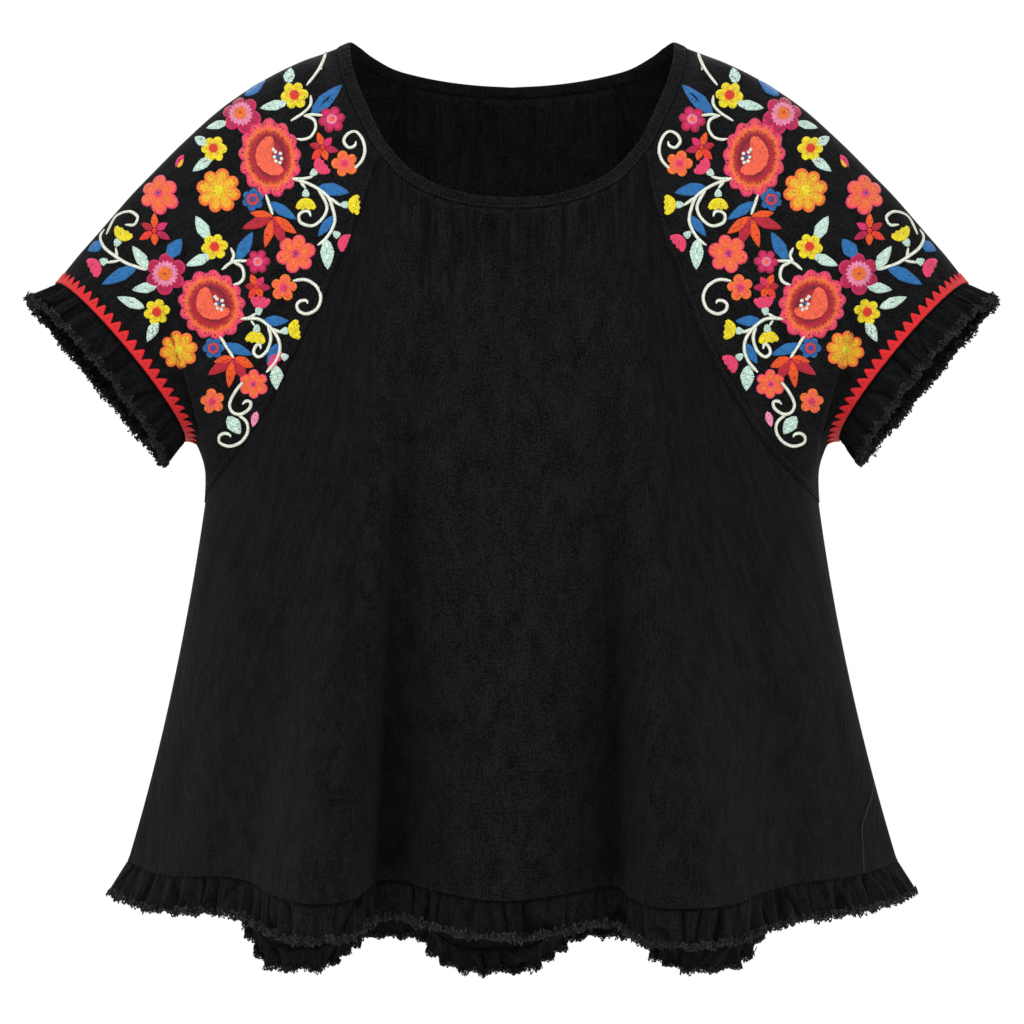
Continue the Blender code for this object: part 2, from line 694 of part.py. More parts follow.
build_cuff_trim("cuff_trim_left", seamless["sleeve_left"])
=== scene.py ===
"""Looks of the raglan top: crinkled cotton, gathered frills with frayed edges, pointed braid, embroidery.

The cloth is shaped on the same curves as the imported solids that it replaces. Lengths are in metres and
tables in millimetres, unless a comment says otherwise. +Z is up and the front faces -Y.
"""

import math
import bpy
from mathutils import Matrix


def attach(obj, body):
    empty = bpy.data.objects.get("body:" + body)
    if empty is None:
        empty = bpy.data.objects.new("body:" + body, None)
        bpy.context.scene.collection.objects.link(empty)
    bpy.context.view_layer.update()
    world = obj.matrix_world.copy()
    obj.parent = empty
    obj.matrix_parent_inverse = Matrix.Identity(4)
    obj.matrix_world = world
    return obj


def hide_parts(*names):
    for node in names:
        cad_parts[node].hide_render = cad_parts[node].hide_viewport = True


bl_info = {
    "name": "Raglan top",
    "version": (1, 0, 0),
    "blender": (4, 5, 0),
    "location": "3D View > Sidebar > Raglan top",
    "description": "Cloth, frills, braid and embroidery of a raglan top",
    "category": "Object",
}

from collections import namedtuple

import bmesh
import bpy
import numpy as np
from bpy.props import FloatProperty, FloatVectorProperty, IntProperty, PointerProperty
from mathutils import Vector
from mathutils.bvhtree import BVHTree

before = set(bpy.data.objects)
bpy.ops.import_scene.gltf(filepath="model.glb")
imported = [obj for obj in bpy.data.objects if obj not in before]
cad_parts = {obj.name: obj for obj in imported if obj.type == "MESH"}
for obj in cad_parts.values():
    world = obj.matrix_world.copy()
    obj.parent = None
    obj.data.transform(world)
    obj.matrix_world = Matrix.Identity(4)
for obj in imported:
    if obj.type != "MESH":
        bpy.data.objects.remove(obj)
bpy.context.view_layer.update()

MM = 0.001

# Plain body, as in the solids
ARMPIT_HALF_WIDTH = 230 * MM
ARMPIT_HEIGHT = -345 * MM
HEM_HALF_WIDTH = 289 * MM
SIDE_HEM_HEIGHT = -614 * MM
FLARE_START_SHARE = 0.61
SECTION_ROUNDNESS = 2.2
HEM_SHARE_AT_CORNER = 0.3

# Binding, frills and braid, as in the solids
BINDING_THICKNESS = 2.4 * MM
FRONT_FRILL_HEIGHT = 30 * MM
BACK_FRILL_HEIGHT = 21 * MM
HEM_FLARE_AT_SIDE = 14 * MM
HEM_FLARE = 7 * MM
CUFF_FRILL_HEIGHT = 26.5 * MM
CUFF_FRILL_FLARE = 3 * MM
WAVE_AT_SEAM = 0.6 * MM
WAVE_AT_EDGE = 4.2 * MM
BRAID_BAND = 3.4 * MM
BRAID_HEIGHT = 9.6 * MM
BRAID_POINTS = 52
BRAID_PITCH = 6.4 * MM
BRAID_START = 0.9 * MM
# Rows of the braid: share of its height, and how far it stands off the cuff in millimetres
BRAID_SECTION = [
    (0, 0.1), (0.05, 0.75), (0.14, 0.85), (0.25, 0.55), (0.45, 0.62), (0.7, 0.62), (0.9, 0.5), (1, 0.05),
]

# Flat sizes of the cloths in metres, measured round and along them as they hang
FRONT_FLAT = (0.88, 0.55)
BACK_FLAT = (0.94, 0.67)
FRONT_FRILL_FLAT = (1.02, 0.029)
BACK_FRILL_FLAT = (1.08, 0.021)

# Steps of the cloth's fine meshes
PANEL_ROWS = 112
RAGLAN_STEPS = 36
NECK_STEPS = 116
SLEEVE_ROWS = 84
SLEEVE_COLUMNS = 120
COLUMNS_PER_WAVE = 16
FRILL_ROWS = 12

# The stage's camera, which sees one picture pixel as 0.75 mm at the depth of the side seams
CAMERA_PLACE = (0.0, -3.0, -0.352)
PIXEL = 0.75 * MM
PICTURE_WIDTH = 1024

DepthRow = namedtuple("DepthRow", "z front back")
DEPTHS = [
    DepthRow(0, 40, 70),
    DepthRow(-60, 66, 92),
    DepthRow(-92, 80, 101),
    DepthRow(-132, 95, 109),
    DepthRow(-190, 111, 117),
    DepthRow(-240, 121, 120),
    DepthRow(-300, 130, 121),
    DepthRow(-360, 136, 122),
    DepthRow(-450, 142, 127),
    DepthRow(-700, 152, 140),
]

# The seam under the neck binding and the binding's free edge, from centre front to centre back, +X side
NeckRow = namedtuple("NeckRow", "x y z edge_x edge_y edge_z")
NECK = [
    NeckRow(0, -95, -132, 0, -92, -123.5),
    NeckRow(27, -94.5, -130, 26, -91.5, -121.5),
    NeckRow(52, -92, -124, 49.5, -89, -115.5),
    NeckRow(74, -87, -113.6, 69, -84, -105.5),
    NeckRow(86, -81.5, -103.5, 79.5, -78.5, -96.5),
    NeckRow(96, -74, -91.7, 89, -71, -85.5),
    NeckRow(104, -66, -80, 96.5, -63, -74.5),
    NeckRow(118, -43, -51, 109.5, -41, -46),
    NeckRow(125, -28, -34, 116, -27, -29.5),
    NeckRow(129, -13, -19, 120, -12.5, -14.5),
    NeckRow(130.5, 8, -3.6, 121.5, 9, 0.6),
    NeckRow(124, 27, -6.5, 114.5, 23.5, -1.4),
    NeckRow(114, 42.5, -12.5, 107, 38, -6),
    NeckRow(96.5, 59.5, -20.8, 91.5, 55, -13.4),
    NeckRow(78.5, 70, -25.3, 75, 65.5, -17.4),
    NeckRow(54.5, 79.5, -29, 52.5, 75, -21),
    NeckRow(28, 84, -31.6, 27.5, 79.5, -23.6),
    NeckRow(0, 85.2, -33, 0, 80.8, -25),
]
FRONT_CORNER, SHOULDER, BACK_CORNER, CENTRE_BACK = 5, 10, 14, 17

# Raglan seams from neck to armpit, x_left being the one of the +X side
SeamRow = namedtuple("SeamRow", "z x_right x_left")
FRONT_RAGLAN = [
    SeamRow(-91.7, 96, 96),
    SeamRow(-131, 109.5, 104),
    SeamRow(-177, 127.5, 119),
    SeamRow(-237, 158, 143),
    SeamRow(-278.5, 179.5, 167),
    SeamRow(-309.6, 202, 190),
    SeamRow(-334, 223, 216),
    SeamRow(-345, 230, 230),
]
BACK_RAGLAN = [
    SeamRow(-25.3, 78.5, 78.5),
    SeamRow(-62, 91, 91),
    SeamRow(-105, 104, 104),
    SeamRow(-155, 122, 122),
    SeamRow(-208, 146, 146),
    SeamRow(-258, 174, 174),
    SeamRow(-303, 203, 203),
    SeamRow(-335, 223, 223),
    SeamRow(-345, 230, 230),
]

# Sleeve sections on the +X side, share 0 at the neck, 1 at the armpit and most at the cuff
SleeveRow = namedtuple(
    "SleeveRow",
    "share top_x top_y top_z under_x under_y under_z pull front_low front_high back_low back_high tilt rise",
)
SLEEVE = [
    SleeveRow(0.0, 130.5, 8, -3.6, 230, 0, -345, 0.50, -58, -34, 66, 48, 0, 0),
    SleeveRow(0.2, 172.5, 6, -21, 230, 0, -345, 0.48, -66, -40, 78, 54, 0, 0),
    SleeveRow(0.4, 212, 2, -45.5, 230, 0, -345, 0.45, -82, -52, 90, 58, 0, 0),
    SleeveRow(0.6, 245, -2, -75, 230, 0, -345, 0.42, -92, -63, 95, 60, 1, 0),
    SleeveRow(0.8, 274.5, -5, -105, 230, 0, -345, 0.34, -92, -71, 92, 60, 3, 12),
    SleeveRow(0.9, 287, -7, -118.5, 230, 0, -345, 0.20, -90, -74, 84, 58, 5, 34),
    SleeveRow(1.0, 299.5, -8, -133, 230, 0, -345, 0.00, -84, -77, 68, 57, 8, 80),
    SleeveRow(1.1, 312, -9, -147.5, 229.5, -2, -322, 0.00, -80, -78, 62, 57, 11, 42),
    SleeveRow(1.18, 323, -9.5, -160, 233, -5, -307.5, 0.00, -79, -78, 60, 57, 14, 16),
    SleeveRow(1.24, 331, -10, -170, 237.5, -7, -299.5, 0.00, -78, -78, 59, 57, 16, 5),
    SleeveRow(1.3, 341, -10, -183, 245.5, -8, -297.6, 0.00, -78, -78, 58, 56, 17, 0),
]
FIRST_SECTION_SHARE = 1 / 11
BACK_TILT_SHARE = 0.25
TOWARDS_NECK = np.array((-0.766, 0.0, 0.643))
RISE = np.array((-0.12, 0.0, 1.0))
OUT_OF_CUFF = np.array((0.747, -0.18, -0.627))

# Where the body meets its frills. starts is the height at which a fold leaves the plain body
HemRow = namedtuple("HemRow", "x y z starts")
FRONT_HEM = [
    HemRow(-288, 0, -614, -420),
    HemRow(-262, -47, -619, -420),
    HemRow(-234, -84, -618, -420),
    HemRow(-206, -106, -616, -400),
    HemRow(-186, -124, -619, -380),
    HemRow(-172, -152, -624, -330),
    HemRow(-145, -184, -628, -300),
    HemRow(-117, -172, -627, -260),
    HemRow(-104, -146, -621, -200),
    HemRow(-98, -118, -618, -150),
    HemRow(-78, -119, -618, -150),
    HemRow(-56, -143, -622, -260),
    HemRow(-28, -165, -626, -300),
    HemRow(0, -172, -627, -300),
    HemRow(28, -160, -625, -280),
    HemRow(56, -136, -622, -240),
    HemRow(76, -121, -622, -200),
    HemRow(86, -146, -628, -240),
    HemRow(101, -174, -631, -300),
    HemRow(129, -185, -631, -320),
    HemRow(158, -165, -630, -330),
    HemRow(178, -137, -625, -300),
    HemRow(206, -104, -621, -280),
    HemRow(234, -82, -620, -380),
    HemRow(262, -48, -618, -420),
    HemRow(289, 0, -614, -420),
]
BACK_HEM = [
    HemRow(-288, 0, -614, -400),
    HemRow(-265, 50, -618, -400),
    HemRow(-240, 90, -622, -400),
    HemRow(-222, 118, -634, -380),
    HemRow(-208, 138, -660, -360),
    HemRow(-196, 122, -684, -340),
    HemRow(-182, 108, -690, -330),
    HemRow(-162, 104, -691, -300),
    HemRow(-142, 112, -689, -280),
    HemRow(-129, 134, -681, -280),
    HemRow(-116, 158, -673, -280),
    HemRow(-93, 166, -671, -300),
    HemRow(-72, 156, -673, -300),
    HemRow(-59, 130, -684, -300),
    HemRow(-40, 113, -692, -300),
    HemRow(-10, 109, -693, -300),
    HemRow(16, 114, -691, -300),
    HemRow(34, 134, -682, -300),
    HemRow(50, 158, -673, -300),
    HemRow(75, 166, -671, -280),
    HemRow(98, 158, -673, -280),
    HemRow(110, 134, -683, -300),
    HemRow(126, 112, -690, -300),
    HemRow(148, 104, -692, -320),
    HemRow(170, 108, -690, -330),
    HemRow(186, 124, -680, -340),
    HemRow(202, 138, -656, -360),
    HemRow(220, 118, -633, -380),
    HemRow(240, 90, -623, -400),
    HemRow(265, 50, -618, -400),
    HemRow(289, 0, -614, -400),
]

# Soft creases: from one place to another, bowed sideways, depth above 0 for a ridge. On the
# panels the places are x and z; on the sleeves they are the distance round from the front seam and the
# share of the sleeve's length, times 230
Crease = namedtuple("Crease", "from_x from_z to_x to_z bow width depth")
FRONT_CREASES = [
    Crease(-118, -300, -96, -560, 6, 13, -1.6),
    Crease(-62, -175, -92, -420, -8, 9, -1.0),
    Crease(74, -175, 96, -430, 7, 10, -1.0),
    Crease(96, -360, 84, -600, 5, 12, -1.4),
    Crease(-205, -345, -232, -470, 5, 6, -1.4),
    Crease(-214, -350, -180, -470, -6, 7, -1.1),
    Crease(205, -350, 236, -480, -5, 6, -1.4),
    Crease(212, -345, 176, -455, 6, 7, -1.1),
    Crease(-160, -300, -196, -520, 8, 9, 0.9),
    Crease(150, -290, 214, -540, -9, 9, 0.9),
    Crease(-20, -180, -34, -330, 4, 8, 0.7),
    Crease(22, -175, 40, -300, -4, 7, 0.7),
    Crease(236, -470, 262, -600, 4, 8, -1.3),
    Crease(-236, -480, -258, -600, -4, 8, -1.2),
]
BACK_CREASES = [
    Crease(-110, -160, -60, -560, 8, 12, -1.5),
    Crease(96, -150, 52, -540, -8, 12, -1.5),
    Crease(-206, -345, -238, -490, 5, 7, -1.4),
    Crease(204, -350, 236, -500, -5, 7, -1.4),
    Crease(-30, -70, -16, -240, 4, 8, 0.8),
    Crease(28, -70, 14, -250, -4, 8, 0.8),
    Crease(-170, -280, -214, -560, 8, 10, 1.0),
    Crease(168, -270, 206, -560, -8, 10, 1.0),
]
SLEEVE_CREASES = [
    Crease(30, 205, 92, 248, 5, 6, -1.3),
    Crease(22, 222, 60, 285, -4, 5, -1.0),
    Crease(62, 190, 120, 226, 4, 8, 0.7),
    Crease(-34, 205, -96, 250, -5, 6, -1.3),
    Crease(-24, 224, -62, 285, 4, 5, -1.0),
    Crease(-70, 150, -128, 210, 5, 8, 0.8),
]

# Embroidery of the +X sleeve, placed by the pixel of the stage's picture in which each part is seen, and
# sized in pixels. The other sleeve mirrors it, and the sleeves' backs repeat it
Flower = namedtuple("Flower", "kind x y size")
FLOWERS = [
    Flower("yellow", 729, 96, 28),
    Flower("yellow", 810, 149, 26),
    Flower("yellow", 809, 247, 27),
    Flower("yellow", 867, 312, 27),
    Flower("large magenta", 783, 114, 39),
    Flower("large magenta", 858, 274, 42),
    Flower("small magenta", 692, 120, 27),
    Flower("small magenta", 766, 262, 25),
    Flower("sunburst", 805, 191, 45),
    Flower("sunburst", 845, 350, 39),
    Flower("coral", 865, 194, 40),
    Flower("coral", 728, 254, 40),
    Flower("coral", 770, 384, 30),
    Flower("tangerine", 679, 164, 27),
    Flower("tangerine", 740, 288, 27),
    Flower("tangerine", 811, 401, 25),
    Flower("blue", 771, 200, 23),
    Flower("blue", 810, 348, 22),
]
# Threads from the petals' hearts to their rims, and the discs laid on the middle: thread and share of size
FlowerKind = namedtuple("FlowerKind", "petals threads discs")
FLOWER_KINDS = {
    "yellow": FlowerKind(6, "gold yellow yellow yellow yellow", [("red", 0.19)]),
    "large magenta": FlowerKind(
        6, "rose magenta magenta rose magenta", [("blush", 0.31), ("orange", 0.18), ("crimson", 0.035)]
    ),
    "small magenta": FlowerKind(6, "rose rose magenta magenta rose", [("blush", 0.2), ("coral", 0.12)]),
    "sunburst": FlowerKind(8, "gold gold orange orange ember", [("gold", 0.2), ("yellow", 0.12)]),
    "coral": FlowerKind(6, "orange coral coral pink pink", [("pink", 0.11), ("violet", 0.045)]),
    "tangerine": FlowerKind(5, "coral coral orange orange orange", [("pink", 0.16), ("rose", 0.07)]),
    "blue": FlowerKind(6, "teal teal blue teal blue", [("red", 0.26), ("violet", 0.16)]),
}
PETAL_REACH = {5: (0.305, 0.2), 6: (0.32, 0.182), 8: (0.352, 0.152)}

Peony = namedtuple("Peony", "x y width height turn heart_x heart_y")
PEONIES = [
    Peony(754, 158, 61, 78, 0.12, 746, 158),
    Peony(812, 305, 64, 71, 0.55, 804, 304),
]
# The knots at a peony's heart, the first one blue
KNOTS = [(0, 0), (-3, -3), (2, -4.5), (-4, 2), (-2.5, 6), (1.5, 4.5), (3, 0.5), (4, -7)]
# Outline of the inner petal of the first peony, across and down from its middle
PEONY_PETAL = np.array([
    (-0.9, -21.7), (4, -21), (9.8, -15.5), (14, -8), (15, -0.5), (12.9, 8.3), (7, 15), (-1.5, 19.5),
    (-10.2, 18.9), (-14.6, 15), (-14, 11.4), (-10.2, 8.3), (-4, 4.5), (-3, -2), (-4.6, -9.2), (-4.6, -16.7),
    (-3.4, -20.5),
])

Leaf = namedtuple("Leaf", "thread x y tip_x tip_y width")
LEAVES = [
    Leaf("ember", 751, 217, 774, 213, 9),
    Leaf("ember", 751, 217, 727, 234, 11),
    Leaf("crimson", 751, 217, 739, 246, 12),
    Leaf("crimson", 751, 217, 782, 229, 12),
    Leaf("ember", 751, 219, 759, 248, 10),
    Leaf("ember", 790, 358, 810, 362, 9),
    Leaf("ember", 790, 358, 770, 367, 11),
    Leaf("crimson", 790, 358, 778, 380, 12),
    Leaf("crimson", 790, 358, 816, 375, 12),
    Leaf("ember", 791, 360, 795, 388, 10),
    Leaf("mint", 735, 85, 734, 66, 12),
    Leaf("mint", 736, 103, 764, 109, 10),
    Leaf("mint", 796, 123, 818, 128, 9),
    Leaf("mint", 816, 146, 830, 136, 10),
    Leaf("mint", 811, 157, 831, 172, 10),
    Leaf("mint", 697, 239, 696, 270, 14),
    Leaf("mint", 815, 240, 828, 216, 13),
    Leaf("mint", 812, 255, 838, 266, 11),
    Leaf("mint", 875, 270, 891, 246, 12),
    Leaf("mint", 866, 286, 892, 290, 11),
    Leaf("mint", 879, 308, 907, 297, 11),
    Leaf("mint", 866, 320, 877, 342, 11),
    Leaf("mint", 748, 365, 746, 391, 14),
    Leaf("mint", 796, 416, 783, 434, 14),
    Leaf("blush", 767, 411, 771, 427, 8),
    Leaf("blue", 713, 115, 682, 85, 14),
    Leaf("blue", 778, 98, 759, 79, 15),
    Leaf("blue", 706, 187, 674, 193, 13),
    Leaf("blue", 690, 216, 706, 237, 10),
    Leaf("blue", 755, 202, 727, 220, 11),
    Leaf("blue", 787, 261, 771, 232, 13),
    Leaf("blue", 856, 258, 842, 239, 15),
    Leaf("blue", 886, 266, 922, 285, 13),
    Leaf("blue", 921, 243, 936, 251, 12),
    Leaf("blue", 761, 321, 735, 321, 11),
    Leaf("blue", 745, 343, 757, 364, 10),
    Leaf("blue", 800, 344, 771, 355, 11),
    Leaf("rose", 840, 155, 848, 168, 7),
    Leaf("gold", 846, 168, 840, 160, 4),
]

# Star-shaped sprigs of narrow petals, crimson and orange in turn
Sprig = namedtuple("Sprig", "x y size")
SPRIGS = [Sprig(701, 148, 31), Sprig(767, 287, 27), Sprig(869, 231, 34)]

Bud = namedtuple("Bud", "thread x y cup_x cup_y")
BUDS = [
    Bud("pink", 704, 168, 710, 173),
    Bud("yellow", 671, 205, 679, 205),
    Bud("yellow", 718, 203, 718, 194),
    Bud("pink", 680, 241, 687, 235),
    Bud("pink", 764, 304, 765, 311),
    Bud("yellow", 731, 330, 739, 331),
    Bud("yellow", 768, 336, 767, 329),
    Bud("pink", 732, 362, 739, 357),
    Bud("yellow", 902, 236, 906, 243),
    Bud("pink", 928, 266, 920, 262),
]

# Half outlines of a bud and its cup, sideways and away from the stem
BUD_SHAPE = [(0.6, 6.4), (3.2, 7.8), (5.6, 6.3), (8.4, 7.2), (10.6, 4.4), (9.2, 0.4), (6, -3.4), (2, -5)]
CUP_SHAPE = [(1.6, 3.4), (3.8, 2.4), (3.6, -0.8), (1.4, -4.6)]

# Stems and curls, each a row of places
STEMS = [
    (697, 52, 704, 68, 710, 77, 717, 86),
    (713, 96, 713, 105, 720, 113, 734, 122),
    (700, 116, 711, 115, 720, 116),
    (720, 116, 710, 120, 708, 128, 713, 137, 721, 140, 728, 139),
    (670, 170, 662, 161, 659, 151, 662, 139, 669, 132, 677, 135, 680, 142, 675, 148, 669, 146, 668, 141),
    (732, 179, 720, 179, 711, 177),
    (732, 179, 718, 183, 706, 189, 696, 197, 691, 209, 689, 221, 693, 232, 700, 241, 707, 246),
    (683, 206, 696, 197),
    (718, 189, 725, 180),
    (706, 189, 697, 206, 700, 217, 711, 226, 723, 223, 725, 216, 721, 212, 715, 212, 713, 217),
    (758, 195, 751, 215),
    (776, 261, 791, 262, 802, 270),
    (793, 248, 790, 256, 794, 264),
    (790, 263, 782, 267, 780, 277, 784, 283, 791, 285),
    (731, 281, 718, 280, 707, 287, 703, 298, 707, 309, 717, 314, 725, 311, 727, 305, 723, 301, 717, 301,
     716, 305),
    (767, 313, 775, 318, 783, 319),
    (783, 319, 766, 319, 755, 326, 746, 338, 744, 349, 748, 361, 758, 373),
    (741, 333, 755, 328),
    (769, 326, 773, 320),
    (756, 326, 753, 338, 757, 351, 765, 357, 770, 353, 768, 346, 764, 344, 763, 349),
    (804, 336, 790, 358),
    (877, 270, 896, 264, 909, 256, 919, 248, 923, 238, 919, 230),
    (904, 261, 917, 263),
    (906, 259, 908, 247),
    (917, 235, 907, 217, 894, 212, 886, 217, 889, 225, 899, 225),
    (780, 381, 788, 391, 794, 404, 791, 412, 783, 414, 774, 408, 773, 402, 778, 401, 782, 405),
    (786, 414, 777, 422, 776, 432, 783, 442, 794, 446, 804, 442, 804, 436, 799, 433, 793, 435, 793, 438),
]

# The side seam's groove where it turns to the front, laid as a dark tube of painted shade
SIDE_SEAM_SHADE_LINE = (863, 873, 862, 850, 861, 828, 865, 813, 870, 798, 873, 780)

# A patch of thread: shares of its outline with heights, from its middle over its rim to its hidden underside
PATCH_RINGS = [(0.22, 0.96), (0.52, 1.0), (0.76, 0.9), (0.93, 0.6), (1.0, -0.2), (0.3, -0.2)]
LEAST_FACING = 0.62
SEEN_FLAT = 0.7

THREADS = {
    "yellow": (0.96, 0.88, 0.1),
    "gold": (0.97, 0.74, 0.12),
    "red": (0.92, 0.2, 0.12),
    "magenta": (0.72, 0.02, 0.28),
    "rose": (0.86, 0.13, 0.4),
    "blush": (0.94, 0.55, 0.7),
    "orange": (0.98, 0.47, 0.16),
    "ember": (0.93, 0.32, 0.06),
    "coral": (1.0, 0.4, 0.28),
    "pink": (0.93, 0.24, 0.42),
    "crimson": (0.72, 0.06, 0.17),
    "wine": (0.45, 0.03, 0.12),
    "blue": (0.1, 0.42, 0.68),
    "teal": (0.12, 0.35, 0.6),
    "violet": (0.3, 0.26, 0.56),
    "mint": (0.78, 0.9, 0.84),
    "cream": (0.93, 0.95, 0.88),
}


class CottonSizes(bpy.types.PropertyGroup):
    """The black cotton."""

    wall: FloatProperty(name="Cloth thickness", description="Thickness of the cotton", default=1.0 * MM,
                        min=0.0003, subtype="DISTANCE", unit="LENGTH")
    crinkle: FloatProperty(name="Crinkle height", description="Height of the lengthwise crinkles",
                           default=0.32 * MM, min=0, subtype="DISTANCE", unit="LENGTH")
    gather: FloatProperty(name="Gather depth", description="Depth of the gathers under the neck binding",
                          default=1.35 * MM, min=0, subtype="DISTANCE", unit="LENGTH")
    gather_reach: FloatProperty(name="Gather length", description="How far down the gathers reach",
                                default=95 * MM, min=0.01, subtype="DISTANCE", unit="LENGTH")
    seam_band: FloatProperty(name="Seam band", description="Width of the topstitched band on the sleeves",
                             default=6.4 * MM, min=0.002, subtype="DISTANCE", unit="LENGTH")
    colour: FloatVectorProperty(name="Cotton colour", description="Colour of the cotton", size=3,
                                subtype="COLOR_GAMMA", default=(0.057, 0.057, 0.062), min=0, max=1)


class FrillSizes(bpy.types.PropertyGroup):
    """The gathered frills and their frayed edges."""

    front_waves: IntProperty(name="Front waves", description="Waves of the front frill", default=46, min=8)
    back_waves: IntProperty(name="Back waves", description="Waves of the back frill", default=48, min=8)
    cuff_waves: IntProperty(name="Cuff waves", description="Waves of each cuff frill", default=26, min=8)
    fray_pitch: FloatProperty(name="Loop spacing", description="Distance between the loops of a frayed edge",
                              default=1.75 * MM, min=0.001, subtype="DISTANCE", unit="LENGTH")
    fray_length: FloatProperty(name="Loop length", description="Length of the loops of a frayed edge",
                               default=9.5 * MM, min=0.001, subtype="DISTANCE", unit="LENGTH")
    fray_thread: FloatProperty(name="Thread thickness", description="Thickness of a loop's thread",
                               default=0.85 * MM, min=0.0002, subtype="DISTANCE", unit="LENGTH")
    colour: FloatVectorProperty(name="Thread colour", description="Colour of the frayed thread", size=3,
                                subtype="COLOR_GAMMA", default=(0.135, 0.135, 0.14), min=0, max=1)


class BraidSizes(bpy.types.PropertyGroup):
    """The pointed braid above the cuff frills."""

    thickness: FloatProperty(name="Braid thickness", description="Thickness of the braid",
                             default=1.1 * MM, min=0.0003, subtype="DISTANCE", unit="LENGTH")
    colour: FloatVectorProperty(name="Braid colour", description="Colour of the braid", size=3,
                                subtype="COLOR_GAMMA", default=(0.87, 0.03, 0.09), min=0, max=1)


class EmbroiderySizes(bpy.types.PropertyGroup):
    """The embroidery of the sleeves."""

    relief: FloatProperty(name="Relief", description="Height of the stitches over the cotton",
                          default=0.75 * MM, min=0.0001, subtype="DISTANCE", unit="LENGTH")
    stem: FloatProperty(name="Stem thickness", description="Thickness of the stem stitch",
                        default=2.5 * MM, min=0.0005, subtype="DISTANCE", unit="LENGTH")
    __annotations__.update({
        thread: FloatVectorProperty(name=f"{thread.title()} thread",
                                    description=f"Colour of the {thread} thread",
                                    size=3, subtype="COLOR_GAMMA", default=colour, min=0, max=1)
        for thread, colour in THREADS.items()
    })


class StitchSizes(bpy.types.PropertyGroup):
    """The topstitching."""

    length: FloatProperty(name="Stitch length", description="Length of a stitch", default=2.7 * MM,
                          min=0.0005, subtype="DISTANCE", unit="LENGTH")
    pitch: FloatProperty(name="Stitch spacing", description="Distance from one stitch to the next",
                         default=3.3 * MM, min=0.001, subtype="DISTANCE", unit="LENGTH")
    thickness: FloatProperty(name="Thread thickness", description="Thickness of the thread",
                             default=0.7 * MM, min=0.0001, subtype="DISTANCE", unit="LENGTH")
    colour: FloatVectorProperty(name="Thread colour", description="Colour of the sewing thread", size=3,
                                subtype="COLOR_GAMMA", default=(0.04, 0.04, 0.043), min=0, max=1)


class StageSizes(bpy.types.PropertyGroup):
    """Camera, lights and floor."""

    floor_radius: FloatProperty(name="Floor radius", description="Radius of the floor", default=1.35,
                                min=0.5, subtype="DISTANCE", unit="LENGTH")
    floor_height: FloatProperty(name="Floor height", description="Height of the floor", default=-1.0,
                                subtype="DISTANCE", unit="LENGTH")
    soft_light: FloatProperty(name="Soft light", description="Strength of the light from all round",
                              default=0.85, min=0)


def through(keys, values, at):
    """Values at places of a smooth curve through all the given values, which may be points."""
    keys, values = np.asarray(keys, float), np.asarray(values, float)
    at = np.clip(np.asarray(at, float), keys[0], keys[-1])
    i = np.clip(np.searchsorted(keys, at, side="right") - 1, 0, len(keys) - 2)
    low = np.maximum(np.arange(len(keys)) - 1, 0)
    high = np.minimum(np.arange(len(keys)) + 1, len(keys) - 1)
    slopes = ((values[high] - values[low]).T / (keys[high] - keys[low])).T
    span = keys[i + 1] - keys[i]
    t = (at - keys[i]) / span
    if values.ndim > 1:
        span, t = span[..., None], t[..., None]
    return (
        values[i] * (1 + 2 * t) * (1 - t) ** 2
        + slopes[i] * span * t * (1 - t) ** 2
        + values[i + 1] * t * t * (3 - 2 * t)
        - slopes[i + 1] * span * t * t * (1 - t)
    )


def smooth_step(t):
    t = np.clip(t, 0.0, 1.0)
    return t * t * (3 - 2 * t)


def unit(vectors):
    return vectors / np.maximum(np.linalg.norm(vectors, axis=-1, keepdims=True), 1e-12)


def lengths_along(points):
    """Distance along a line at each of its points."""
    return np.concatenate([[0], np.cumsum(np.linalg.norm(np.diff(points, axis=0), axis=1))])


def at_distance(line, distances):
    """Points of a line, whose first three numbers are the place, at distances along it."""
    lengths = lengths_along(line[:, :3])
    return np.stack([np.interp(distances, lengths, line[:, axis]) for axis in range(line.shape[1])], axis=1)


def half_width(z):
    """Half the plain body's width at heights."""
    drop = np.maximum((ARMPIT_HEIGHT - z) / (ARMPIT_HEIGHT - SIDE_HEM_HEIGHT), 0.0)
    share = FLARE_START_SHARE * drop + (1 - FLARE_START_SHARE) * drop * drop
    return ARMPIT_HALF_WIDTH + (HEM_HALF_WIDTH - ARMPIT_HALF_WIDTH) * share


def plain_depth(x, z, side):
    """Y of the plain body at places. side is -1 for the front and 1 for the back."""
    heights = [row.z * MM for row in reversed(DEPTHS)]
    depths = [(row.front if side < 0 else row.back) * MM for row in reversed(DEPTHS)]
    across = np.minimum(np.abs(x) / half_width(z), 1.0)
    return side * through(heights, depths, z) * np.sqrt(1 - across**SECTION_ROUNDNESS)


def neck_points(places):
    """Points of the seam under the binding, and of the binding's free edge, at places along NECK."""
    both = through(range(len(NECK)), np.array(NECK) * MM, places)
    return both[..., :3], both[..., 3:]


def raglan_point(share, side, hand):
    """A point of a raglan seam, share 0 at the neck and 1 at the armpit, on the +X side when hand is 1."""
    rows = FRONT_RAGLAN if side < 0 else BACK_RAGLAN
    x = np.array([row.x_left if hand > 0 else row.x_right for row in rows]) * MM
    z = np.array([row.z for row in rows]) * MM
    points = np.stack([x, plain_depth(x, z, side), z], axis=1)
    points[0] = neck_points(FRONT_CORNER if side < 0 else BACK_CORNER)[0]
    points[-1] = (ARMPIT_HALF_WIDTH, 0, ARMPIT_HEIGHT)
    lengths = lengths_along(points)
    return through(lengths / lengths[-1], points, share) * (hand, 1, 1)


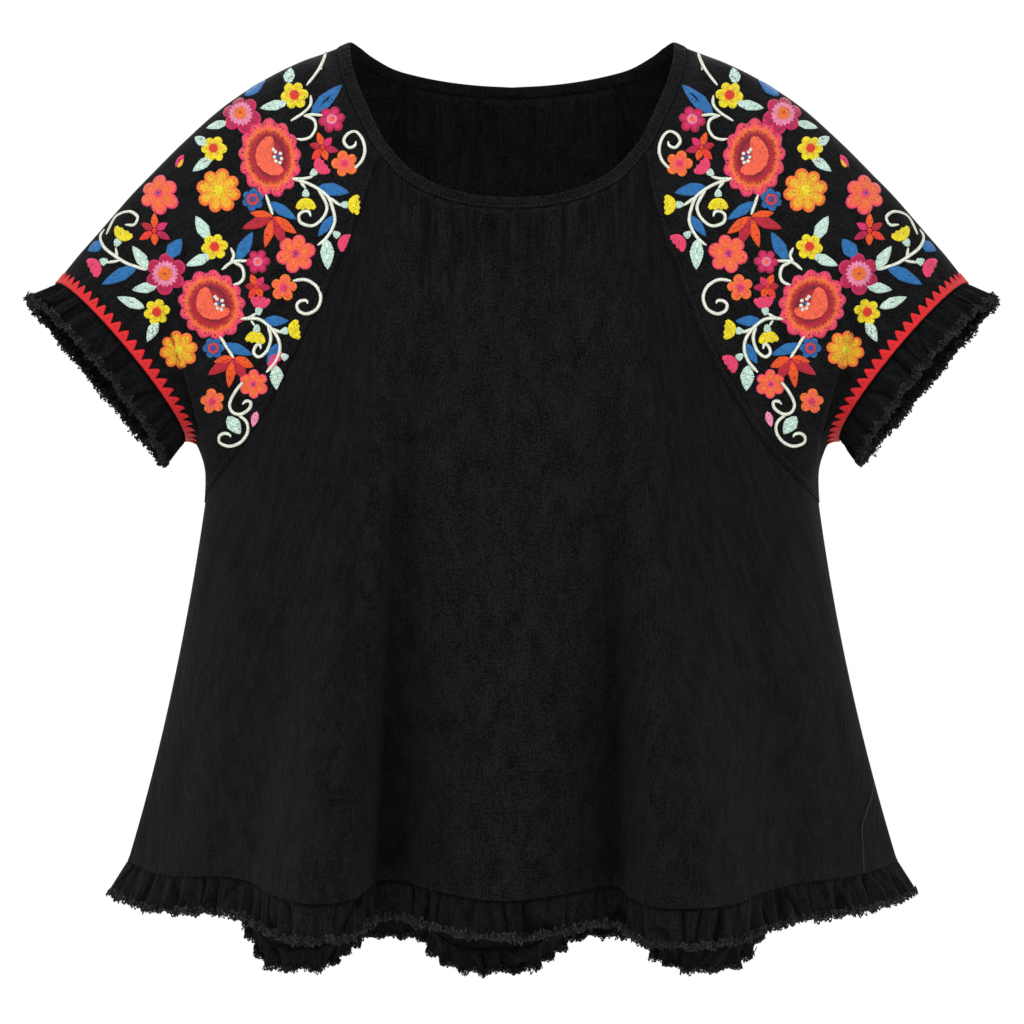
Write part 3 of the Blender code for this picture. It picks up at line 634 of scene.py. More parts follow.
def sleeve_section(share, around, hand):
    """Points of a sleeve at places around: 0 at the front seam, 0.5 on the shoulder's fold, 1 at the back."""
    sides = np.array((hand, 1, 1))
    row = SleeveRow(*through([r.share for r in SLEEVE], np.array(SLEEVE), share))
    top = np.array((row.top_x, row.top_y, row.top_z)) * MM * sides
    under = np.array((row.under_x, row.under_y, row.under_z)) * MM * sides
    halves = []
    for side, chosen in ((-1, around < 0.5), (1, around >= 0.5)):
        low = raglan_point(share, side, hand) if share < 1 else under
        reach_low, reach_high = (row.front_low, row.front_high) if side < 0 else (row.back_low, row.back_high)
        tilt = TOWARDS_NECK * sides * row.tilt * MM * (1 if side < 0 else -BACK_TILT_SHARE)
        low_handle = low + row.pull * (top - low) + tilt + RISE * sides * row.rise * MM
        low_handle[1] = reach_low * MM
        high_handle = top + tilt
        high_handle[1] = reach_high * MM
        t = (around[chosen] * 2 if side < 0 else (1 - around[chosen]) * 2)[:, None]
        halves.append(
            low * (1 - t) ** 3
            + low_handle * 3 * t * (1 - t) ** 2
            + high_handle * 3 * t * t * (1 - t)
            + top * t**3
        )
    return np.concatenate(halves)


def sleeve_neck(around, hand):
    """Points of a sleeve's neck seam."""
    front = FRONT_CORNER + (SHOULDER - FRONT_CORNER) * around * 2
    back = SHOULDER + (BACK_CORNER - SHOULDER) * (around * 2 - 1)
    return neck_points(np.where(around < 0.5, front, back))[0] * (hand, 1, 1)


def sleeve_line(share, hand):
    """A finely stepped section of a sleeve, joined smoothly to the neck seam near share 0."""
    around = np.linspace(0, 1, 241)
    section = sleeve_section(max(share, 1e-6), around, hand)
    joining = smooth_step(share / (2 * FIRST_SECTION_SHARE))
    if joining >= 1:
        return section
    neck = sleeve_neck(around, hand)
    first = sleeve_section(FIRST_SECTION_SHARE, around, hand)
    from_neck = neck + (first - neck) * share / FIRST_SECTION_SHARE
    from_neck[0], from_neck[-1] = section[0], section[-1]
    return from_neck * (1 - joining) + section * joining


def crinkle(across, along, seed):
    """Height from about -1 to 1 of uneven lengthwise crinkles at distances across and along the cloth."""
    total = 0
    for k, wavelength in enumerate((34 * MM, 21 * MM, 13 * MM)):
        drift = np.sin(2 * math.pi * along / (0.17 + 0.04 * k) + seed + 2.1 * k)
        turns = along / (0.11 + 0.03 * k) + across / 0.09
        swell = 0.55 + 0.45 * np.sin(2 * math.pi * turns + seed * 1.3 + k)
        total = total + np.sin(2 * math.pi * across / wavelength + 1.9 * drift + seed * (k + 1.7)) * swell
    return total / 3


def creased(across, along, creases):
    """Height of the listed creases, at places across and along the cloth."""
    total = np.zeros_like(across)
    for crease in creases:
        start = np.array((crease.from_x, crease.from_z)) * MM
        way = np.array((crease.to_x, crease.to_z)) * MM - start
        length = np.linalg.norm(way)
        way = way / length
        share = ((across - start[0]) * way[0] + (along - start[1]) * way[1]) / length
        off = (across - start[0]) * way[1] - (along - start[1]) * way[0]
        off = off - crease.bow * MM * 4 * np.clip(share, 0, 1) * (1 - np.clip(share, 0, 1))
        ends = smooth_step(share / 0.3) * smooth_step((1 - share) / 0.35)
        total += crease.depth * MM * np.exp(-((off / (crease.width * MM)) ** 2)) * ends
    return total


def grid_normals(points):
    """Unit normals of a grid of points, on the side given by columns turning towards rows."""
    return unit(np.cross(np.gradient(points, axis=1), np.gradient(points, axis=0)))


def panel_grid(side, sizes):
    """Points of the front or back, and their distances across and down the cloth."""
    rows = np.array(FRONT_HEM if side < 0 else BACK_HEM) * MM
    hem = through(range(len(rows)), rows, np.linspace(0, len(rows) - 1, 12 * len(rows)))
    corner, centre = (FRONT_CORNER, 0) if side < 0 else (BACK_CORNER, CENTRE_BACK)
    tops, shares = [], []
    for step in range(RAGLAN_STEPS):
        tops.append(raglan_point(1 - step / RAGLAN_STEPS, side, -1))
        shares.append(HEM_SHARE_AT_CORNER * step / RAGLAN_STEPS)
    for step in range(NECK_STEPS + 1):
        across = step / NECK_STEPS * 2 - 1
        hand = 1 if across > 0 else -1
        tops.append(neck_points(centre + (corner - centre) * abs(across))[0] * (hand, 1, 1))
        shares.append(HEM_SHARE_AT_CORNER + (1 - 2 * HEM_SHARE_AT_CORNER) * step / NECK_STEPS)
    for step in range(1, RAGLAN_STEPS + 1):
        tops.append(raglan_point(step / RAGLAN_STEPS, side, 1))
        shares.append(1 - HEM_SHARE_AT_CORNER * (1 - step / RAGLAN_STEPS))
    top = np.array(tops)
    low = at_distance(hem, np.array(shares) * lengths_along(hem[:, :3])[-1])
    down = np.linspace(0, 1, PANEL_ROWS + 1)[:, None]
    height = top[:, 2] + (low[:, 2] - top[:, 2]) * down
    flare = FLARE_START_SHARE * down + (1 - FLARE_START_SHARE) * down * down
    x = top[:, 0] + (low[:, 0] - top[:, 0]) * flare
    fold = low[:, 1] - plain_depth(low[:, 0], low[:, 2], side)
    grown = smooth_step((low[:, 3] - height) / (low[:, 3] - low[:, 2]))
    correction = (top[:, 1] - plain_depth(top[:, 0], top[:, 2], side)) * (1 - down) ** 4
    points = np.stack([x, plain_depth(x, height, side) + fold * grown + correction, height], axis=2)
    steps = np.linalg.norm(np.diff(points, axis=1), axis=2)
    across = np.concatenate([np.zeros((len(points), 1)), np.cumsum(steps, axis=1)], axis=1)
    across -= across[:, [points.shape[1] // 2]]
    falls = np.linalg.norm(np.diff(points, axis=0), axis=2)
    fallen = np.concatenate([np.zeros((1, points.shape[1])), np.cumsum(falls, axis=0)])
    from_side = np.minimum(across - across[:, [0]], across[:, [-1]] - across)
    inside = smooth_step(fallen / (14 * MM)) * smooth_step((fallen[-1] - fallen) / (14 * MM))
    inside = inside * smooth_step(from_side / (14 * MM))
    rise = crinkle(across, height, 1.0 if side < 0 else 4.0) * sizes.crinkle * inside
    rise += creased(x, height, FRONT_CREASES if side < 0 else BACK_CREASES) * inside
    rise += 0.6 * MM * smooth_step(1 - (fallen[-1] - fallen) / (4 * MM))
    rise -= 0.5 * MM * np.exp(-((from_side / (2.4 * MM)) ** 2))
    under_neck = smooth_step((0.5 - np.abs(np.linspace(0, 1, points.shape[1]) - 0.5) - 0.2) / 0.05)
    gathers = np.sin(2 * math.pi * across / (15 * MM) + 1.3 * np.sin(across / (26 * MM)))
    gathers = gathers + 0.7 * np.sin(2 * math.pi * across / (8.3 * MM) + np.sin(across / (17 * MM)))
    gathers = gathers * (0.75 + 0.4 * np.sin(across / (38 * MM) + 0.7))
    reach = sizes.gather_reach * (0.8 + 0.35 * np.sin(across / (11 * MM)))
    fading = np.maximum(1 - fallen / reach, 0) ** 1.4 * smooth_step(fallen / (1.5 * MM))
    gathered = fading * under_neck * (1 if side < 0 else 0.45)
    rise += gathers * sizes.gather * gathered
    points = points + grid_normals(points) * side * rise[..., None]
    # Painted shade: the broad troughs and the creases are darkened, and the gathers under the neck get dark
    # streaks
    deep = hollows(points[..., 1] * side, 22, 26 * MM) * 0.62 + hollows(rise, 4, 1.6 * MM) * 0.6
    return points, across, fallen, painted_fold_shade(np.clip(deep * inside, 0, 0.85), np.sqrt(gathered))


def sleeve_grid(hand, sizes):
    """Points of a sleeve, and their distances round it from the front seam and down it from the neck."""
    edge = np.array((0, 1.6 * MM, 3.6 * MM, sizes.seam_band - 1.0 * MM, sizes.seam_band - 0.2 * MM))
    edge = np.append(edge, sizes.seam_band + np.array((0.5, 1.4, 3.2)) * MM)
    shares = np.linspace(0, SLEEVE[-1].share, SLEEVE_ROWS + 1)
    armpit = np.argmin(np.abs(shares - 1))
    shares[armpit] = 1
    points, around = [], []
    for share in shares:
        line = sleeve_line(share, hand)
        length = lengths_along(line)[-1]
        middle = np.linspace(edge[-1], length - edge[-1], SLEEVE_COLUMNS - 2 * len(edge) + 3)[1:-1]
        distances = np.concatenate([edge, middle, length - edge[::-1]])
        points.append(at_distance(line, distances))
        around.append(distances)
    points, around = np.array(points), np.array(around)
    falls = np.linalg.norm(np.diff(points, axis=0), axis=2)
    along = np.concatenate([np.zeros((1, points.shape[1])), np.cumsum(falls, axis=0)])
    length = around[:, [-1]]
    from_seam = np.minimum(around, length - around)
    past = shares[:, None] > 1
    inside = smooth_step(along / (10 * MM)) * smooth_step((along[-1] - along) / (9 * MM))
    inside = inside * smooth_step((from_seam - np.where(past, 0, sizes.seam_band)) / (12 * MM))
    rise = crinkle(around - length / 2, along, 7.0 + hand) * sizes.crinkle * 0.7 * inside
    front_places = np.where(around < length / 2, around, around - length)
    rise += creased(front_places, shares[:, None] * 230 * MM, SLEEVE_CREASES) * inside
    band = 1 - smooth_step((from_seam - sizes.seam_band + 0.4 * MM) / (0.9 * MM))
    rise += 0.75 * MM * band * (1 - smooth_step((shares[:, None] - 0.97) / 0.05))
    points = points - grid_normals(points) * hand * rise[..., None]
    points[armpit:, -1] = points[armpit:, 0]
    tucked = 0.8 * MM * (1 - smooth_step(along[:, -1] / (16 * MM)))
    points[:, -1] += unit(points[:, -1] - points[:, -2]) * tucked[:, None]
    # Painted shade in the creases, in the raglan seam and along the edge of the topstitched band
    deep = hollows(rise, 5, 1.6 * MM) * 0.5 * inside
    deep += 0.9 * np.exp(-((from_seam / (1.3 * MM)) ** 2)) * ~past
    deep += 0.75 * np.exp(-(((from_seam - sizes.seam_band - 0.4 * MM) / (0.8 * MM)) ** 2)) * ~past
    return points, around, along, painted_fold_shade(np.clip(deep, 0, 0.9), 0)


def srgb(colour):
    """Linear values of a colour that is given as it looks on a screen."""
    return tuple(c / 12.92 if c <= 0.04045 else ((c + 0.055) / 1.055) ** 2.4 for c in colour)


def select_only(made):
    bpy.ops.object.select_all(action="DESELECT")
    made.select_set(True)
    bpy.context.view_layer.objects.active = made


def mesh_object(name, points, faces, places, finish, colours=None, attribute="thread"):
    """A new object from points and faces. places holds a flat cloth place in metres for each face corner."""
    mesh = bpy.data.meshes.new(name)
    mesh.from_pydata([tuple(p) for p in np.asarray(points, float).tolist()], [], faces)
    layer = mesh.uv_layers.new(name="cloth")
    layer.data.foreach_set("uv", np.asarray(places, float).ravel())
    if colours is not None:
        layer = mesh.color_attributes.new(attribute, "FLOAT_COLOR", "POINT")
        layer.data.foreach_set("color", np.asarray(colours, float).ravel())
    mesh.materials.append(finish)
    made = bpy.data.objects.new(name, mesh)
    bpy.context.scene.collection.objects.link(made)
    merge_doubles(mesh)
    return made


def merge_doubles(mesh):
    """Joins points that coincide, and drops the faces and edges that this leaves without size."""
    shaped = bmesh.new()
    shaped.from_mesh(mesh)
    bmesh.ops.remove_doubles(shaped, verts=shaped.verts, dist=0.000005)
    bmesh.ops.dissolve_degenerate(shaped, edges=shaped.edges, dist=0.000001)
    shaped.to_mesh(mesh)
    shaped.free()


def grid_faces(rows, columns, outward, closed=False):
    """Faces of a grid, with the row and column of each corner. outward below 0 turns them over."""
    wide = columns if closed else columns - 1
    r, c = [a.ravel() for a in np.meshgrid(np.arange(rows - 1), np.arange(wide), indexing="ij")]
    corner_rows = np.stack([r, r, r + 1, r + 1], axis=1)
    corner_columns = np.stack([c, c + 1, c + 1, c], axis=1)
    if outward < 0:
        corner_rows, corner_columns = corner_rows[:, ::-1], corner_columns[:, ::-1]
    faces = corner_rows * columns + corner_columns % columns
    return faces.tolist(), corner_rows, corner_columns


def painted_fold_shade(hollow, gathered):
    """Painted shade for the cotton at each point: red says how dark a fold or seam is painted, green how
    gathered the cloth is, which paints dark streaks and raises bumps.
    """
    hollow, gathered = np.broadcast_arrays(hollow, gathered)
    return np.stack([hollow, gathered, 0 * hollow, 0 * hollow + 1], axis=-1).reshape(-1, 4)


def hollows(height, columns, depth):
    """How deep, from 0 to 1, each point of a grid lies below the mean of its neighbours to both sides, which
    the cotton shows as painted shade.
    """
    sums = np.cumsum(np.pad(height, ((0, 0), (columns + 1, columns)), mode="edge"), axis=1)
    window = 2 * columns + 1
    mean = (sums[:, window:] - sums[:, :-window]) / window
    mean = np.concatenate([mean[:, :1], mean], axis=1)[:, :height.shape[1]]
    return np.clip((mean - height) / depth, 0, 1)


def cloth_piece(name, points, across, along, wall, finish, outward, closed=False, folds=None):
    """A cloth of even thickness from a grid of points. across and along give its flat places."""
    rows, columns = points.shape[:2]
    faces, corner_rows, corner_columns = grid_faces(rows, columns, outward, closed)
    places = np.stack([across[corner_rows, corner_columns], along[corner_rows, corner_columns]], axis=2)
    made = mesh_object(name, points.reshape(-1, 3), faces, places, finish, folds, "folds")
    select_only(made)
    solid = made.modifiers.new("wall", "SOLIDIFY")
    solid.thickness = wall
    solid.offset = 0
    bpy.ops.object.modifier_apply(modifier=solid.name)
    made.data.shade_smooth()
    made.data.set_sharp_from_angle(angle=math.radians(50))
    return made


def finished(made, nodes=()):
    """Lets a piece ride on the garment and hides the solids that it stands for."""
    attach(made, "root")
    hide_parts(*nodes)


class Nodes:
    """A material and the short ways to add nodes to it."""

    def __init__(self, name):
        self.material = bpy.data.materials.new(name)
        self.material.use_nodes = True
        self.tree = self.material.node_tree
        self.shader = self.tree.nodes["Principled BSDF"]

    def add(self, kind, inputs=(), **settings):
        node = self.tree.nodes.new(kind)
        for key, value in settings.items():
            setattr(node, key, value)
        for key, value in dict(inputs).items():
            if isinstance(value, bpy.types.NodeSocket):
                self.tree.links.new(value, node.inputs[key])
            else:
                node.inputs[key].default_value = value
        return node

    def math(self, operation, first, second=0.0):
        return self.add("ShaderNodeMath", {0: first, 1: second}, operation=operation).outputs[0]

    def mix(self, share, first, second, blend_type="MIX"):
        node = self.add("ShaderNodeMix", data_type="RGBA", blend_type=blend_type)
        for socket, value in ((node.inputs[0], share), (node.inputs[6], first), (node.inputs[7], second)):
            if isinstance(value, bpy.types.NodeSocket):
                self.tree.links.new(value, socket)
            else:
                socket.default_value = value
        return node.outputs[2]

    def ramp(self, value, low, high, low_colour=(0, 0, 0, 1), high_colour=(1, 1, 1, 1)):
        node = self.add("ShaderNodeValToRGB", {"Fac": value})
        node.color_ramp.elements[0].position = low
        node.color_ramp.elements[0].color = low_colour
        node.color_ramp.elements[1].position = high
        node.color_ramp.elements[1].color = high_colour
        return node.outputs["Color"]

    def flat_place(self, scale):
        place = self.add("ShaderNodeUVMap", uv_map="cloth").outputs["UV"]
        return self.add("ShaderNodeMapping", {"Vector": place, "Scale": scale}).outputs["Vector"]

    def noise(self, scale, detail=2.0, roughness=0.5, distortion=0.0):
        """Noise on the flat cloth, scale being how many times it changes in a metre across and along."""
        inputs = {"Vector": self.flat_place((*scale, 1)), "Scale": 1.0, "Detail": detail}
        inputs.update({"Roughness": roughness, "Distortion": distortion})
        return self.add("ShaderNodeTexNoise", inputs).outputs["Fac"]

    def bump(self, height, distance, strength=1.0, normal=None):
        inputs = {"Height": height, "Distance": distance, "Strength": strength}
        if normal is not None:
            inputs["Normal"] = normal
        return self.add("ShaderNodeBump", inputs).outputs["Normal"]

    def finish(self, colour, normal, roughness, specular, sheen=0.0, sheen_tint=(1, 1, 1, 1)):
        for key, value in (("Base Color", colour), ("Normal", normal)):
            if isinstance(value, bpy.types.NodeSocket):
                self.tree.links.new(value, self.shader.inputs[key])
            else:
                self.shader.inputs[key].default_value = value
        self.shader.inputs["Roughness"].default_value = roughness
        self.shader.inputs["Specular IOR Level"].default_value = specular
        self.shader.inputs["Sheen Weight"].default_value = sheen
        self.shader.inputs["Sheen Roughness"].default_value = 0.5
        self.shader.inputs["Sheen Tint"].default_value = sheen_tint
        return self.material


def shade(colour, factor):
    return (*[min(c * factor, 1.0) for c in srgb(colour)], 1)


def cotton_material(name, colour, crinkled, pressed):
    """Black crinkled double gauze: coarse weave, squiggly puckers with a painted highlight on their ridges,
    and painted shade in folds, seams and gathers.
    """
    nodes = Nodes(name)
    grain = nodes.noise((640, 640), 3, 0.75)
    slubs_along = nodes.noise((900, 110), 3, 0.65)
    slubs_across = nodes.noise((130, 900), 3, 0.65)
    patches = nodes.noise((70, 40), 4, 0.65, 0.5)
    threads = nodes.math("ADD", nodes.math("MULTIPLY", grain, 0.5), nodes.math("MULTIPLY", slubs_along, 0.17))
    threads = nodes.math("ADD", threads, nodes.math("MULTIPLY", slubs_across, 0.15))
    threads = nodes.math("ADD", threads, nodes.math("MULTIPLY", patches, 0.18))
    base = nodes.ramp(threads, 0.445, 0.555, shade(colour, 0.15), shade(colour, 2.2))
    # Squiggly pucker ridges: raised by a bump, and painted lighter as a highlight
    curls = nodes.noise((170, 120), 2, 0.5, 1.5)
    off = nodes.math("ABSOLUTE", nodes.math("SUBTRACT", curls, 0.5))
    squiggles = nodes.ramp(off, 0.006, 0.03, (1, 1, 1, 1), (0, 0, 0, 1))
    broken = nodes.ramp(nodes.noise((80, 60), 2, 0.6), 0.5, 0.6)
    squiggles = nodes.math("MULTIPLY", nodes.math("MULTIPLY", squiggles, broken), crinkled)
    base = nodes.mix(nodes.math("MULTIPLY", squiggles, 0.4), base, shade(colour, 3.2))
    # Painted shade: the folds attribute's red darkens folds and seams, and its green paints dark streaks in
    # the gathers
    folds = nodes.add("ShaderNodeAttribute", attribute_name="folds").outputs["Color"]
    parts = nodes.add("ShaderNodeSeparateColor", {0: folds}).outputs
    tucks = nodes.noise((125, 9), 2, 0.6, 0.5)
    tucked = nodes.math("MULTIPLY", nodes.ramp(tucks, 0.38, 0.5, (1, 1, 1, 1), (0, 0, 0, 1)), parts[1])
    dark = nodes.math("MAXIMUM", nodes.math("MULTIPLY", tucked, 0.8), parts[0])
    base = nodes.mix(dark, base, shade(colour, 0.1))
    soft = nodes.noise((105, 20), 4, 0.55, 0.8)
    fine = nodes.noise((330, 52), 4, 0.62, 1.0)
    puckers = nodes.noise((160, 210), 3, 0.6, 0.5)
    wrinkles = nodes.noise((60, 230), 3, 0.55, 0.4)
    normal = nodes.bump(soft, 2.4 * MM * crinkled)
    normal = nodes.bump(fine, 1.1 * MM * crinkled, 1.0, normal)
    normal = nodes.bump(puckers, 0.8 * MM, 0.8, normal)
    normal = nodes.bump(nodes.math("MULTIPLY", tucks, parts[1]), 10.0 * MM, 1.0, normal)
    normal = nodes.bump(wrinkles, 5.0 * MM * pressed, 1.0, normal)
    normal = nodes.bump(squiggles, 0.4 * MM, 1.0, normal)
    normal = nodes.bump(threads, 0.6 * MM, 1.0, normal)
    return nodes.finish(base, normal, 0.85, 0.05, 0.02, (0.8, 0.82, 0.9, 1))


def fray_material(name, colour):
    """The same cotton, unravelled."""
    nodes = Nodes(name)
    grain = nodes.noise((900, 2600), 2, 0.6)
    loops = nodes.noise((61, 37), 2, 0.6)
    base = nodes.ramp(loops, 0.36, 0.66, shade(colour, 0.15), shade(colour, 2.4))
    normal = nodes.bump(grain, 0.2 * MM)
    return nodes.finish(base, normal, 0.8, 0.08, 0.03, (0.8, 0.82, 0.9, 1))


def braid_material(name, colour):
    """Shiny thread in slanting satin stitches, with a small dark hole in each point."""
    nodes = Nodes(name)
    place = nodes.add("ShaderNodeUVMap", uv_map="cloth").outputs["UV"]
    parts = nodes.add("ShaderNodeSeparateXYZ", {0: place}).outputs
    stitches = nodes.math("SINE", nodes.math("MULTIPLY", parts[0], 2 * math.pi / (0.62 * MM)))
    uneven = nodes.noise((1500, 300), 2, 0.6)
    height = nodes.math("ADD", nodes.math("MULTIPLY", stitches, 0.35), uneven)
    across = nodes.math("FRACT", nodes.math("DIVIDE", parts[0], BRAID_PITCH))
    off = nodes.math("MULTIPLY", nodes.math("SUBTRACT", across, 0.5), BRAID_PITCH)
    up = nodes.math("SUBTRACT", parts[1], 4.6 * MM)
    far = nodes.math("SQRT", nodes.math("ADD", nodes.math("POWER", off, 2.0), nodes.math("POWER", up, 2.0)))
    hole = nodes.ramp(nodes.math("DIVIDE", far, 1.0 * MM), 0.25, 0.5)
    # Thread darker in the grooves between the stitches and lighter on their tops, painted shade and highlight
    # over an uneven tone
    thread = nodes.ramp(height, 0.1, 0.9, shade(colour, 0.62), shade(colour, 1.12))
    base = nodes.mix(hole, shade((0.2, 0.02, 0.04), 1.0), thread)
    normal = nodes.bump(height, 0.25 * MM)
    normal = nodes.bump(hole, 0.4 * MM, 1.0, normal)
    return nodes.finish(base, normal, 0.55, 0.35, 0.15, (1, 0.6, 0.6, 1))


def embroidery_material(name):
    """Cotton thread in rows of short stitches. The colour comes with the mesh."""
    nodes = Nodes(name)
    thread = nodes.add("ShaderNodeAttribute", attribute_name="thread", name="thread").outputs["Color"]
    place = nodes.add("ShaderNodeUVMap", uv_map="cloth").outputs["UV"]
    wobble = nodes.add("ShaderNodeTexNoise", {"Vector": place, "Scale": 350.0, "Detail": 1.0})
    shift = wobble.outputs["Color"]
    for operation, value in (("SUBTRACT", (0.5,) * 3), ("MULTIPLY", (1.6 * MM,) * 3), ("ADD", place)):
        shift = nodes.add("ShaderNodeVectorMath", {0: shift, 1: value}, operation=operation).outputs[0]
    sizes = {"Scale": 1.0, "Mortar Size": 0.16 * MM, "Mortar Smooth": 1.0, "Bias": 0.0}
    sizes.update({"Brick Width": 2.6 * MM, "Row Height": 1.25 * MM, "Vector": shift})
    sizes.update({"Color1": (0.88,) * 3 + (1,), "Color2": (1.15,) * 3 + (1,)})
    sizes.update({"Mortar": (0.35, 0.33, 0.33, 1)})
    stitches = nodes.add("ShaderNodeTexBrick", sizes, offset=0.5, offset_frequency=2)
    gaps = nodes.noise((420, 620), 1, 0.5)
    deep = nodes.ramp(gaps, 0.62, 0.7, (1, 1, 1, 1), (0.32, 0.18, 0.24, 1))
    base = nodes.mix(1.0, thread, stitches.outputs["Color"], "MULTIPLY")
    holed = nodes.tree.nodes["thread"].outputs["Alpha"]
    base = nodes.mix(holed, base, nodes.mix(1.0, base, deep, "MULTIPLY"))
    normal = nodes.bump(nodes.math("SUBTRACT", 1.0, stitches.outputs["Fac"]), 0.35 * MM)
    normal = nodes.bump(nodes.noise((2200, 5200), 1, 0.5), 0.12 * MM, 0.8, normal)
    return nodes.finish(base, normal, 0.6, 0.25, 0.12)


def material_called(name, make, *values):
    return bpy.data.materials.get(name) or make(name, *values)


def cotton():
    colour = bpy.context.scene.cotton_sizes.colour
    return material_called("crinkled_cotton", cotton_material, colour, 1.0, 0.0)


def pressed_cotton():
    colour = bpy.context.scene.cotton_sizes.colour
    return material_called("pressed_cotton", cotton_material, colour, 0.3, 1.0)


class BuildPanels(bpy.types.Operator):
    """Front and back, gathered under the neck binding and fluted at the hem"""

    bl_idname = "raglan_top.panels"
    bl_label = "Front and back"

    def execute(self, context):
        sizes = context.scene.cotton_sizes
        for name, side, flat, area in (("front", -1, FRONT_FLAT, 0.281), ("back", 1, BACK_FLAT, 0.322)):
            points, across, fallen, folds = panel_grid(side, sizes)
            made = cloth_piece(
                name + "_cloth", points, across, -fallen, sizes.wall, cotton(), side, folds=folds
            )
            finished(made, [name])
        return {"FINISHED"}


class BuildSleeves(bpy.types.Operator):
    """Raglan sleeves with a raised band along their seams"""

    bl_idname = "raglan_top.sleeves"
    bl_label = "Sleeves"

    def execute(self, context):
        sizes = context.scene.cotton_sizes
        for name, hand in (("sleeve_right", -1), ("sleeve_left", 1)):
            points, around, along, folds = sleeve_grid(hand, sizes)
            middle = around - around[:, [-1]] / 2
            made = cloth_piece(
                name + "_cloth", points, middle, -along, sizes.wall, cotton(), -hand, folds=folds
            )
            finished(made, [name])
        return {"FINISHED"}


class BuildBinding(bpy.types.Operator):
    """Folded strip round the neck"""

    bl_idname = "raglan_top.binding"
    bl_label = "Neck binding"

    def execute(self, context):
        half = np.linspace(0, CENTRE_BACK, 190)
        seam, edge = neck_points(half)
        back = slice(-2, 0, -1)
        seam = np.concatenate([seam, seam[back] * (-1, 1, 1)])
        edge = np.concatenate([edge, edge[back] * (-1, 1, 1)])
        count = len(seam)
        along = unit(np.roll(seam, -1, axis=0) - np.roll(seam, 1, axis=0))
        up = unit(edge - seam)
        out = unit(np.cross(along, up))
        lengths = np.append(lengths_along(seam), 0)
        lengths[-1] = lengths[-2] + np.linalg.norm(seam[0] - seam[-1])
        pucker = 0.06 * np.sin(lengths[:-1] / (3.1 * MM)) + 0.05 * np.sin(lengths[:-1] / (1.9 * MM) + 1)
        dark = []
        outside = [(-0.05, -0.36), (0.08, -0.47), (0.3, -0.5), (0.62, -0.5), (0.86, -0.42), (0.97, -0.24)]
        inside = [(share, -across) for share, across in reversed(outside)]
        section = [(-0.08, 0.0), *outside, (1.0, 0.0), *inside]
        rows = []
        for share, across in section:
            wide = across * (1 + pucker * (1 if 0.1 < share < 0.9 else 0))
            rows.append(seam + (edge - seam) * share + out * (wide * BINDING_THICKNESS)[:, None])
            # Painted shade along the binding's edge at the seam
            dark.append(np.full(count, 0.85 if share < 0.05 else 0.25 if share < 0.1 else 0.0))
        rows.append(rows[0])
        dark.append(dark[0])
        points = np.array(rows)
        around = np.concatenate([[0], np.cumsum(np.linalg.norm(np.diff(points[:, 0], axis=0), axis=1))])
        faces, corner_rows, corner_columns = grid_faces(len(rows), count, 1, True)
        places = np.stack([around[corner_rows], lengths[corner_columns]], axis=2)
        folds = painted_fold_shade(np.array(dark), 0)
        points = points.reshape(-1, 3)
        made = mesh_object("neck_binding_cloth", points, faces, places, pressed_cotton(), folds, "folds")
        select_only(made)
        bpy.ops.object.mode_set(mode="EDIT")
        bpy.ops.mesh.select_all(action="SELECT")
        bpy.ops.mesh.normals_make_consistent(inside=False)
        bpy.ops.object.mode_set(mode="OBJECT")
        made.data.shade_smooth()
        finished(made, ["neck_binding"])
        return {"FINISHED"}


def wave(turn):
    """Height of a gathered frill's wave, uneven from one wave to the next."""
    uneven = 0.8 + 0.2 * np.sin(turn * 2.9) * np.cos(turn * 1.3)
    return np.sin(2 * math.pi * turn + 0.5 * np.sin(turn * 1.7)) * uneven


def shifted(path, steps, closed):
    """The path's points some steps ahead, held at the ends of an open path."""
    if closed:
        return np.roll(path, -steps, axis=0)
    return path[np.clip(np.arange(len(path)) + steps, 0, len(path) - 1)]


